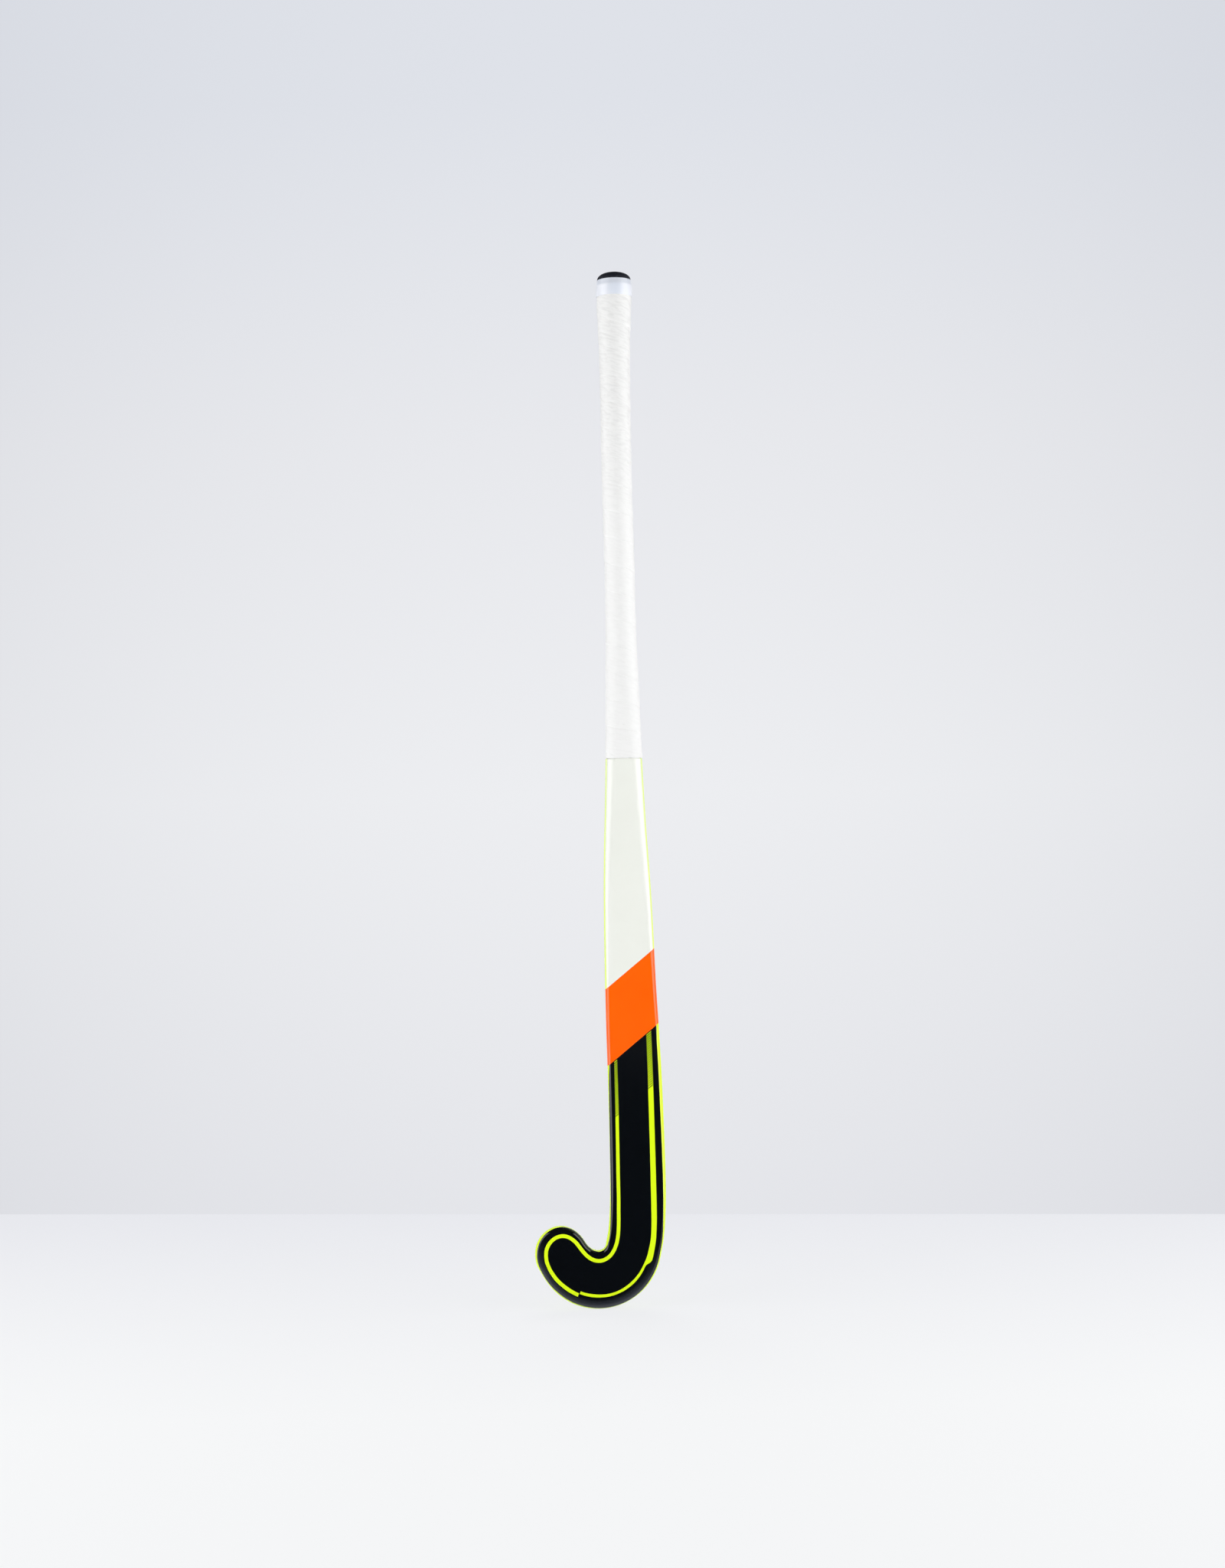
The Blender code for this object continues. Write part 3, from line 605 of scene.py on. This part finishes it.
# The heel guard is a U-shaped strip of tough epoxy with ground fibre, let flush into the edge
# of the hook where the stick scrapes the floor. It is bonded in and printed with the rest.
select_only(guard)
bpy.ops.object.modifier_add(type="SOLIDIFY")
wall = guard.modifiers[-1]
wall.thickness = GUARD_THICKNESS * MM
wall.offset = -1.0
wall.use_even_offset = True
bpy.ops.object.modifier_apply(modifier=wall.name)
soften_edges(guard, SEAM, segments=1)
bow_and_place(guard)
shade(guard)
# The guard is satin with the lacquer beside it, and painted grey along its rounded edge as a
# painted sheen. Its ground fibre shows as a grain about 0.7 mm wide.
satin = lacquered("filled_epoxy_guard_satin", 0.7, 0.005)
guard.data.materials.clear()
guard.data.materials.append(satin)
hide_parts("heel_guard")
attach(guard, "root")

# The tube is moulded round two foam cores, a dense one in the head that takes the ball's blows
# and a light one up the shaft. They are closed inside the laminate.
for node, tone, deep_tone, cell in (
    ("head_core", "D8C08C", "B89A62", 0.9),
    ("shaft_core", "E8DDBE", "CDBD96", 1.6),
):
    # Cast polyurethane foam: dull, with open cells of 0.9 mm in the head and 1.6 mm above it.
    material, tree, shader = new_material("cast_foam_" + node, Roughness=0.92, IOR=1.45)
    place = add(tree, "TexCoord").outputs["Object"]
    cells = add(tree, "TexVoronoi", None, {"Vector": place, "Scale": 1 / (cell * MM)})
    colour = add(
        tree, "MixRGB", None, {"Fac": cells, "Color1": linear(deep_tone), "Color2": linear(tone)}
    )
    tree.links.new(colour.outputs[0], shader.inputs["Base Color"])
    bump = add(tree, "Bump", None, {"Strength": 0.6, "Distance": 0.3 * MM, "Height": cells})
    tree.links.new(bump.outputs[0], shader.inputs["Normal"])
    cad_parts[node].data.materials.clear()
    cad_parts[node].data.materials.append(material)

# A glass-filled nylon plug is bonded into the open butt. Its blind bore takes the cap's spigot.
# The moulded surface is dull, with a short-fibre grain 0.5 mm wide.
material, tree, shader = new_material("glass_filled_nylon", Roughness=0.6, IOR=1.53)
place = add(tree, "TexCoord").outputs["Object"]
fibre = add(tree, "TexNoise", None, {"Vector": place, "Scale": 1 / (0.5 * MM), "Detail": 4.0})
colour = add(
    tree, "MixRGB", None, {"Fac": fibre, "Color1": linear("232326"), "Color2": linear("34353A")}
)
tree.links.new(colour.outputs[0], shader.inputs["Base Color"])
bump = add(tree, "Bump", None, {"Strength": 0.4, "Distance": 0.05 * MM, "Height": fibre})
tree.links.new(bump.outputs[0], shader.inputs["Normal"])
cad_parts["handle_plug"].data.materials.clear()
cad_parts["handle_plug"].data.materials.append(material)

# The butt cap is moulded in black rubber crumb: a spigot pushed into the plug, a collar under
# the tape, and a full dome that ends in a small lip. Grey flecks of the crumb show in it.
SPIGOT_RADIUS = 5.0
SPIGOT_CHAMFER = 1.0
SPIGOT_BASE = 886.0
COLLAR_RADIUS = 14.5
COLLAR_BASE = 912.5
DOME_BASE = 919.5
DOME_RADIUS = 15.0
DOME_FULLNESS = 2.15
DOME_STEPS = 25
LIP_SLOPE = 0.4
STICK_TOP = 926.6
CAP_SIDES = 72
butt_middle = bow(SHELL_TOP) + follow(SHAFT_DEPTH, SHELL_TOP) / 2
butt_sway = follow(SHAFT_SWAY, SHELL_TOP)
cap_centre = Vector((butt_sway, butt_middle, 0.0)) + Vector(DRAWN_ORIGIN)
outline = [
    (SPIGOT_RADIUS - SPIGOT_CHAMFER, SPIGOT_BASE),
    (SPIGOT_RADIUS, SPIGOT_BASE + SPIGOT_CHAMFER),
    (SPIGOT_RADIUS, COLLAR_BASE),
    (COLLAR_RADIUS, COLLAR_BASE),
    (COLLAR_RADIUS, DOME_BASE - LIP_SLOPE),
    (DOME_RADIUS, DOME_BASE),
]
for step in range(1, DOME_STEPS):
    turn = math.pi / 2 * step / DOME_STEPS
    full = 2 / DOME_FULLNESS
    height = DOME_BASE + (STICK_TOP - DOME_BASE) * math.sin(turn) ** full
    outline.append((DOME_RADIUS * math.cos(turn) ** full, height))
bpy.ops.object.select_all(action="DESELECT")
bpy.ops.mesh.primitive_circle_add(
    vertices=CAP_SIDES,
    radius=outline[0][0] * MM,
    fill_type="NGON",
    location=(cap_centre + Vector((0, 0, outline[0][1]))) * MM,
)
cap = bpy.context.object
cap.name = cap.data.name = "cap_dome"
bpy.ops.object.transform_apply(location=True)
bpy.ops.object.mode_set(mode="EDIT")
bpy.ops.mesh.select_mode(type="FACE")
bpy.ops.mesh.select_all(action="SELECT")
for (radius, height), (next_radius, next_height) in zip(outline, outline[1:]):
    bpy.ops.mesh.extrude_region_move(
        TRANSFORM_OT_translate={"value": (0, 0, (next_height - height) * MM)}
    )
    scale = next_radius / radius
    bpy.ops.transform.resize(
        value=(scale, scale, 1.0),
        center_override=(cap_centre + Vector((0, 0, next_height))) * MM,
    )
bpy.ops.mesh.poke(offset=(STICK_TOP - outline[-1][1]) * MM)
bpy.ops.mesh.select_all(action="SELECT")
bpy.ops.mesh.normals_make_consistent(inside=False)
bpy.ops.object.mode_set(mode="OBJECT")
soften_edges(cap, 0.3, sharpness=40)
shade(cap, 40)
# Rubber crumb bound in rubber: matt, with a leathery grain 0.8 mm wide and pale flecks.
material, tree, shader = new_material(
    "rubber_crumb_black", Roughness=0.7, Specular_IOR_Level=0.25
)
place = add(tree, "TexCoord").outputs["Object"]
crumb = add(tree, "TexVoronoi", {"feature": "F1"}, {"Vector": place, "Scale": 1 / (1.5 * MM)})
patches = add(tree, "TexNoise", None, {"Vector": place, "Scale": 1 / (4 * MM), "Detail": 2.0})
fleck = add(
    tree, "MapRange", None, {"Value": crumb.outputs["Distance"], 1: 0.28, 2: 0.12, 3: 0.0, 4: 1.0}
)
chosen = add(tree, "MapRange", None, {"Value": patches, 1: 0.5, 2: 0.6, 3: 0.0, 4: 0.55})
amount = add(tree, "Math", {"operation": "MULTIPLY"}, {0: fleck, 1: chosen})
colour = add(
    tree, "MixRGB", None, {"Fac": amount, "Color1": linear("181A24"), "Color2": linear("7F848C")}
)
tree.links.new(colour.outputs[0], shader.inputs["Base Color"])
grain = add(tree, "TexNoise", None, {"Vector": place, "Scale": 1 / (0.8 * MM), "Detail": 3.0})
bump = add(tree, "Bump", None, {"Strength": 0.7, "Distance": 0.12 * MM, "Height": grain})
tree.links.new(bump.outputs[0], shader.inputs["Normal"])
cap.data.materials.clear()
cap.data.materials.append(material)
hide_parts("butt_cap")
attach(cap, "root")

# The grip is one soft polyurethane strip wound left-handed up the handle, so that each turn
# laps over the last. It is stretched as it is wound, which crinkles it, and it is perforated.
GRIP_BASE = 491.8
GRIP_TOP = 912.0
GRIP_PITCH = 24.2
GRIP_TIP = 1.5
# (distance up from the strip's lower edge, lift off the laminate) for one turn's section
GRIP_SECTION = [
    (0.0, 0.9), (0.0, 1.75), (0.1, 1.96), (0.35, 2.12), (0.8, 2.21), (1.6, 2.24), (3.5, 2.22),
    (6.0, 2.19), (9.0, 2.15), (12.0, 2.11), (15.0, 2.07), (18.0, 2.03), (21.0, 1.98), (23.0, 1.95),
    (24.3, 1.92), (25.4, 1.6), (26.6, 1.2), (26.6, 0.3), (0.0, 0.3), (0.0, 0.9),
]
STEPS_AROUND = 72
# The length of strip between two columns
STEP_ROUND = 1.13
FIRST_COLUMN = -4
# Where the strip is cut off, it is this far off the laminate, and thinner towards its upper edge.
CUT_LIFT = 2.2
THINNING = 0.0141
# How far the strip wavers up and down, and how far its visible part is crinkled in and out
WAVER = 0.2
CRINKLE = 0.1
RIPPLE = 0.05
CRINKLED_FROM = 0.2
CRINKLED_TO = 24
CRINKLED_ABOVE_LIFT = 1.5


def wound_point(height, index, lift):
    """One point round the handle at a height, counted left-handed from the middle of the face."""
    run = HOOK_RUN + height - SHAFT_FOOT
    degrees = index % STEPS_AROUND * 360 / STEPS_AROUND
    u, v = section_point(*section_size(run, lift), min(degrees, 360 - degrees), lift)
    return on_spine(run, -u if degrees < 180 else u, v)


# The strip's first turn is cut level at the grip's lower end, and starts just before the middle
# of the face.
grip_rows = []
strip_numbers = []
column = FIRST_COLUMN
while True:
    share = column / STEPS_AROUND
    high = GRIP_BASE + GRIP_TIP + GRIP_PITCH * share
    if high - GRIP_PITCH > GRIP_TOP - GRIP_TIP:
        break
    waver = noise.noise(Vector((share * 1.3, 1.7, 0.0))) * WAVER
    cut = GRIP_BASE - (high - GRIP_PITCH)
    row = []
    for climb, lift in GRIP_SECTION:
        if climb < cut:
            lift = min(lift, CUT_LIFT - THINNING * cut)
        height = high - GRIP_PITCH + climb + waver
        height = min(max(height, GRIP_BASE), GRIP_TOP)
        crinkle = noise.noise(Vector((share * 9.0, climb * 0.3, 3.1)))
        ripple = noise.noise(Vector((share * 21.0, climb * 0.6, 9.4)))
        if CRINKLED_FROM < climb < CRINKLED_TO and lift > CRINKLED_ABOVE_LIFT:
            lift += CRINKLE * crinkle + RIPPLE * ripple
        row.append(wound_point(height, column, lift))
        strip_numbers.append((column * STEP_ROUND, height - (high - GRIP_PITCH), height))
    grip_rows.append(row)
    column += 1
grip = lay_grid("grip_winding", grip_rows)
for i, number in enumerate(("along_strip", "across_strip", "up_handle")):
    keep_number(grip, number, [at[i] for at in strip_numbers])
edit_faces(grip)
bpy.ops.mesh.remove_doubles(threshold=MERGED * MM)
bpy.ops.mesh.select_all(action="DESELECT")
bpy.ops.mesh.select_mode(type="EDGE")
bpy.ops.mesh.select_non_manifold()
bpy.ops.mesh.fill()
bpy.ops.mesh.select_all(action="SELECT")
bpy.ops.mesh.normals_make_consistent(inside=False)
bpy.ops.object.mode_set(mode="OBJECT")
bow_and_place(grip)
shade(grip, 50)
# Soft foamed polyurethane film: matt white with a silky sheen. The strip's own coordinates
# carry its look: wrinkles 7 mm long and 2 mm apart along it from being stretched, a grain
# 1.1 mm wide, and a perforation of dimples 3.6 mm apart.
material, tree, shader = new_material(
    "foamed_polyurethane_film", Roughness=0.6, Specular_IOR_Level=0.3
)
along = add(tree, "Attribute", {"attribute_name": "along_strip"}).outputs["Fac"]
across = add(tree, "Attribute", {"attribute_name": "across_strip"}).outputs["Fac"]
up = add(tree, "Attribute", {"attribute_name": "up_handle"}).outputs["Fac"]
strip = add(tree, "CombineXYZ", None, {0: along, 1: across})
stretched = add(tree, "Mapping", None, {"Vector": strip, "Scale": (1 / 7.0, 1 / 2.0, 1.0)})
crease = add(
    tree, "TexNoise", None, {"Vector": stretched, "Scale": 1.0, "Detail": 3.0, "Distortion": 0.6}
)
fine = add(tree, "Mapping", None, {"Vector": strip, "Scale": (1 / 1.1, 1 / 1.1, 1.0)})
emboss = add(tree, "TexNoise", None, {"Vector": fine, "Scale": 1.0, "Detail": 2.0})
spaced = add(tree, "Mapping", None, {"Vector": strip, "Scale": (1 / 3.6, 1 / 3.6, 1.0)})
holes = add(
    tree, "TexVoronoi", {"feature": "F1"}, {"Vector": spaced, "Scale": 1.0, "Randomness": 0.3}
)
dimple = add(
    tree, "MapRange", None, {"Value": holes.outputs["Distance"], 1: 0.1, 2: 0.2, 3: -0.3, 4: 0.0}
)
# The strip is worked hardest where the top hand holds it, so its wrinkles grow towards the top.
worked = add(tree, "MapRange", None, {"Value": up, 1: 700.0, 2: 790.0, 3: 0.3, 4: 1.0})
relief = add(tree, "Math", {"operation": "MULTIPLY_ADD"}, {0: emboss, 1: 0.25, 2: crease})
relief = add(tree, "Math", {"operation": "MULTIPLY_ADD"}, {0: relief, 1: worked, 2: dimple})
bump = add(tree, "Bump", None, {"Strength": 1.0, "Distance": 0.27 * MM, "Height": relief})
tree.links.new(bump.outputs[0], shader.inputs["Normal"])
# The creases' troughs are painted darker: a painted shade that grows with the wrinkles towards the
# top.
low_crease = add(
    tree, "MapRange", None, {"Value": crease, 1: 0.34, 2: 0.56, 3: 1.0, 4: 0.0}
)
painted_crease_shade = add(tree, "Math", {"operation": "MULTIPLY"}, {0: low_crease, 1: worked})
colour = add(
    tree, "MixRGB", None, {"Fac": painted_crease_shade, "Color1": linear("E9E9E8"), "Color2": linear("E0E0DF")}
)
tree.links.new(colour.outputs[0], shader.inputs["Base Color"])
grip.data.materials.clear()
grip.data.materials.append(material)
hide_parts("grip_wrap")
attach(grip, "root")

# A band of thin, pale blue vinyl tape holds the end of the grip. It is wound once and a bit
# round the top of the grip, and steps in over the cap's collar.
TAPE_BASE = 904.4
TAPE_TOP = 919.1
TAPE_OUTER_LIFT = 2.85
TAPE_INNER_LIFT = 2.3
# The tape is pressed closer over its lowest part, and its edges are turned in a little.
TAPE_THIN_FOR = 4.0
TAPE_PRESSED = 0.36
TAPE_EDGE_IN = 0.1
TAPE_CRINKLE = 0.07
TAPE_NECK = 15.2
# The second layer runs from the back for this share of half a turn, and ends with a step.
TAPE_LAP = 0.62
TAPE_END_STEP = 0.1
TAPE_ROUND_FROM = 912.4
TAPE_ROUND_TO = 918.2
tape_heights = [TAPE_BASE, 904.5, 905.2, 906, 907, 908.4, 910, 911.4, 912.4, 913, 913.6, 914.2]
tape_heights += [914.8, 915.4, 916, 916.6, 917.2, 917.8, 918.4, 918.95, TAPE_TOP]


def tape_point(height, index, inside):
    """A point of the tape: on the grip's end below, and on the cap's round collar at the top."""
    lift = TAPE_INNER_LIFT
    if not inside:
        thin = max(1 - (height - TAPE_BASE) / TAPE_THIN_FOR, 0.0)
        lift = TAPE_OUTER_LIFT - TAPE_PRESSED * thin
        crinkle = noise.noise(Vector((index * 0.22, height * 0.5, 5.0)))
        lift += crinkle * TAPE_CRINKLE * (1 - thin)
        lift -= TAPE_EDGE_IN if height in (TAPE_BASE, TAPE_TOP) else 0.0
        lap = (0.5 - index / STEPS_AROUND) * 2
        lift += TAPE_END_STEP if 0 < lap < TAPE_LAP else 0.0
    low = Vector(wound_point(min(height, SHELL_TOP), index, lift))
    low.z = height
    angle = math.atan2(low.x - butt_sway, butt_middle - bow(SHELL_TOP) - low.y)
    radius = TAPE_NECK + lift - TAPE_OUTER_LIFT
    x = butt_sway + radius * math.sin(angle)
    y = butt_middle - radius * math.cos(angle) - bow(height)
    t = min(max((height - TAPE_ROUND_FROM) / (TAPE_ROUND_TO - TAPE_ROUND_FROM), 0.0), 1.0)
    return tuple(low.lerp(Vector((x, y, height)), t * t * (3 - 2 * t)))


tape_rows = []
for height, inside in [(h, False) for h in tape_heights] + [(h, True) for h in tape_heights[::-1]]:
    tape_rows.append([tape_point(height, i, inside) for i in range(STEPS_AROUND + 1)])
tape_rows.append(tape_rows[0])
tape = lay_grid("tape_band", tape_rows)
close_seams(tape)
bow_and_place(tape)
shade(tape, 40)
# Plasticised vinyl: satin and a little see-through, so it looks greyer over the black collar. One
# patch at the front is painted darker and bluer, a painted shade. It is stretched, which streaks
# its surface round the handle.
PAINTED_SHADE_PATCH = Vector((1.0, -16.0, 910.5))
PATCH_EDGE = 10
PATCH_CORE = 3
GREY_FROM = 912.2
GREY_TO = 914.2
STREAKS_IN_A_METRE = (300.0, 300.0, 900.0)
material, tree, shader = new_material("calendered_vinyl_tape", Roughness=0.34, IOR=1.53)
place = add(tree, "TexCoord").outputs["Object"]
up = add(tree, "SeparateXYZ", None, {0: place}).outputs["Z"]
over_collar = add(
    tree,
    "MapRange",
    {"interpolation_type": "SMOOTHSTEP"},
    {"Value": up, 1: GREY_FROM * MM, 2: GREY_TO * MM, 3: 0.0, 4: 1.0},
)
layers = add(tree, "TexNoise", None, {"Vector": place, "Scale": 1 / (7 * MM), "Detail": 1.5})
middle = add(
    tree, "VectorMath", {"operation": "DISTANCE"},
    {0: place, 1: (cap_centre + PAINTED_SHADE_PATCH) * MM},
)
patch = add(
    tree,
    "MapRange",
    {"interpolation_type": "SMOOTHSTEP"},
    {"Value": middle.outputs["Value"], 1: PATCH_EDGE * MM, 2: PATCH_CORE * MM, 3: 0.0, 4: 1.0},
)
film = add(
    tree, "MixRGB", None, {"Fac": layers, "Color1": linear("DEE2EA"), "Color2": linear("E7E9F0")}
)
# The patch at the front is a painted shade.
film = add(tree, "MixRGB", None, {"Fac": patch, "Color1": film, "Color2": linear("D8DEE9")})
colour = add(
    tree, "MixRGB", None, {"Fac": over_collar, "Color1": film, "Color2": linear("D0D5DF")}
)
tree.links.new(colour.outputs[0], shader.inputs["Base Color"])
pulled = add(tree, "Mapping", None, {"Vector": place, "Scale": STREAKS_IN_A_METRE})
streaks = add(tree, "TexNoise", None, {"Vector": pulled, "Scale": 1.0, "Detail": 2.0})
bump = add(tree, "Bump", None, {"Strength": 0.35, "Distance": 0.1 * MM, "Height": streaks})
tree.links.new(bump.outputs[0], shader.inputs["Normal"])
tape.data.materials.clear()
tape.data.materials.append(material)
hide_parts("finishing_tape")
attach(tape, "root")

# The studio: a pale table whose back edge shows behind the stick, a pale backdrop, lamps at the
# sides, front and back, and the camera. None of it is part of the stick.
TABLE_LIT = 0.13
# The corners, in metres. The table's back edge runs askew, further away on the left.
TABLE_CORNERS = [-1.8, -1.7, 0, 1.8, -1.7, 0, -1.8, 0.640, 0, 1.8, 0.221, 0]
BACKDROP_CORNERS = [-5, 2.6, -2.5, 5, 2.6, -2.5, -5, 2.6, 4.5, 5, 2.6, 4.5]


def stage_material(name, colour_of, lit):
    """A matt surface that looks its own colour, but for a share that the lamps light."""
    material, tree, shader = new_material(name, Roughness=0.9)
    colour = colour_of(tree)
    tree.links.new(colour.outputs[0], shader.inputs["Base Color"])
    rays = add(tree, "LightPath")
    seen = add(
        tree, "Math", {"operation": "MAXIMUM"},
        {0: rays.outputs["Is Camera Ray"], 1: rays.outputs["Is Glossy Ray"]},
    )
    seen = add(
        tree, "Math", {"operation": "MAXIMUM"}, {0: seen, 1: rays.outputs["Is Transmission Ray"]}
    )
    own = add(tree, "Emission", None, {"Color": colour, "Strength": 1.0})
    share = add(tree, "Math", {"operation": "MULTIPLY"}, {0: seen, 1: 1.0 - lit})
    mixed = add(tree, "MixShader", None, {0: share, 1: shader, 2: own})
    output = next(n for n in tree.nodes if n.type == "OUTPUT_MATERIAL")
    tree.links.new(mixed.outputs[0], output.inputs["Surface"])
    return material


def table_colour(tree):
    # Painted light: the table is painted paler towards the front and greyer towards its back edge.
    place = add(tree, "SeparateXYZ", None, {0: add(tree, "TexCoord").outputs["Object"]})
    ramp = add(tree, "ValToRGB", None, {0: add(
        tree, "MapRange", None, {"Value": place.outputs["Y"], 1: 0.45, 2: -0.35, 3: 0.0, 4: 1.0}
    )})
    ramp.color_ramp.elements[0].color = linear("EAEBF0")
    ramp.color_ramp.elements[1].color = linear("F6F7F8")
    return ramp


def backdrop_colour(tree):
    # Painted light: palest behind the shaft, and greyer upwards, downwards and towards the sides.
    place = add(tree, "SeparateXYZ", None, {0: add(tree, "TexCoord").outputs["Object"]})
    upward = add(
        tree, "MapRange", None, {"Value": place.outputs["Z"], 1: -1.2, 2: 2.1, 3: 0.0, 4: 1.0}
    )
    ramp = add(tree, "ValToRGB", None, {0: upward})
    stops = ramp.color_ramp.elements
    stops[0].position, stops[0].color = 0.16, linear("E2E3E8")
    stops[1].position, stops[1].color = 0.93, linear("DFE2E9")
    for position, tone in ((0.5, "EDEEF1"), (0.72, "E8E9ED")):
        stop = stops.new(position)
        stop.color = linear(tone)
    off_centre = add(tree, "Math", {"operation": "POWER"}, {0: add(
        tree, "Math", {"operation": "ABSOLUTE"}, {0: place.outputs["X"]}
    ), 1: 2.0})
    fall = add(
        tree, "MapRange", None, {"Value": off_centre, 1: 0.0, 2: 1.6, 3: 0.0, 4: 0.13}
    )
    return add(
        tree, "MixRGB", None, {"Fac": fall, "Color1": ramp, "Color2": linear("A0A4B0")}
    )


bpy.ops.object.select_all(action="DESELECT")
bpy.ops.mesh.primitive_plane_add(size=1.0)
table = bpy.context.object
table.name = "table"
table.data.vertices.foreach_set("co", TABLE_CORNERS)
table.data.materials.append(stage_material("white_laminate_table", table_colour, TABLE_LIT))
bpy.ops.mesh.primitive_plane_add(size=1.0)
backdrop = bpy.context.object
backdrop.name = "backdrop"
backdrop.data.vertices.foreach_set("co", BACKDROP_CORNERS)
backdrop.data.materials.append(stage_material("paper_backdrop", backdrop_colour, 0.0))

# The room is pale to the camera, lights a little from all round, and is all but dark in the
# lacquer's reflections.
world = bpy.data.worlds.new("studio")
bpy.context.scene.world = world
world.use_nodes = True
tree = world.node_tree
rays = add(tree, "LightPath")
light = add(tree, "Background", None, {"Color": linear("F4F5F8"), "Strength": 0.1})
seen = add(tree, "Background", None, {"Color": linear("E9EAEE"), "Strength": 1.0})
mirrored = add(tree, "Background", None, {"Color": linear("F4F5F8"), "Strength": 0.02})
unseen = add(tree, "MixShader", None, {0: rays.outputs["Is Glossy Ray"], 1: light, 2: mirrored})
room = add(tree, "MixShader", None, {0: rays.outputs["Is Camera Ray"], 1: unseen, 2: seen})
output = next(n for n in tree.nodes if n.type == "OUTPUT_WORLD")
tree.links.new(room.outputs[0], output.inputs["Surface"])


def softbox(name, place, aim, size, power, mirrored):
    lamp = bpy.data.lights.new(name, "AREA")
    lamp.shape = "RECTANGLE"
    lamp.size, lamp.size_y = size
    lamp.energy = power
    thing = bpy.data.objects.new(name, lamp)
    bpy.context.scene.collection.objects.link(thing)
    thing.location = place
    thing.rotation_euler = (Vector(aim) - Vector(place)).to_track_quat("-Z", "Y").to_euler()
    thing.visible_camera = False
    thing.visible_glossy = mirrored


# Two wide lamps at the sides are mirrored in the lacquer, so it takes a soft light along its
# rounded edges. The front and back lamps aren't mirrored.
for name, place, aim, size, power, mirrored in (
    ("left_lamp", (-1.2, -0.42, 0.6), (0, 0, 0.45), (1.2, 2.0), 20.0, True),
    ("right_lamp", (1.2, -0.38, 0.6), (0, 0, 0.45), (1.2, 2.0), 20.5, True),
    ("front_lamp", (0.0, -2.2, 0.6), (0, 0, 0.35), (1.8, 1.4), 16.0, False),
    ("back_lamp", (0.0, 1.5, 2.2), (0, 0, 0.4), (1.8, 1.0), 26.0, False),
):
    softbox(name, place, aim, size, power, mirrored)

# The camera looks level from 2 m in front of the stick, and is rolled a little.
CAMERA = (Vector((-10.65, -2029.59, 468.78)) + Vector(DRAWN_ORIGIN)) * MM
ROLL = math.radians(1.272)
LENS = 52.37
SENSOR = 36.0
camera = bpy.data.cameras.new("camera")
camera.sensor_width = SENSOR
camera.lens = LENS
camera_object = bpy.data.objects.new("camera", camera)
bpy.context.scene.collection.objects.link(camera_object)
camera_object.location = CAMERA
camera_object.rotation_euler = (math.pi / 2, ROLL, 0.0)
bpy.context.scene.camera = camera_object
bpy.context.scene.view_settings.view_transform = "Standard"
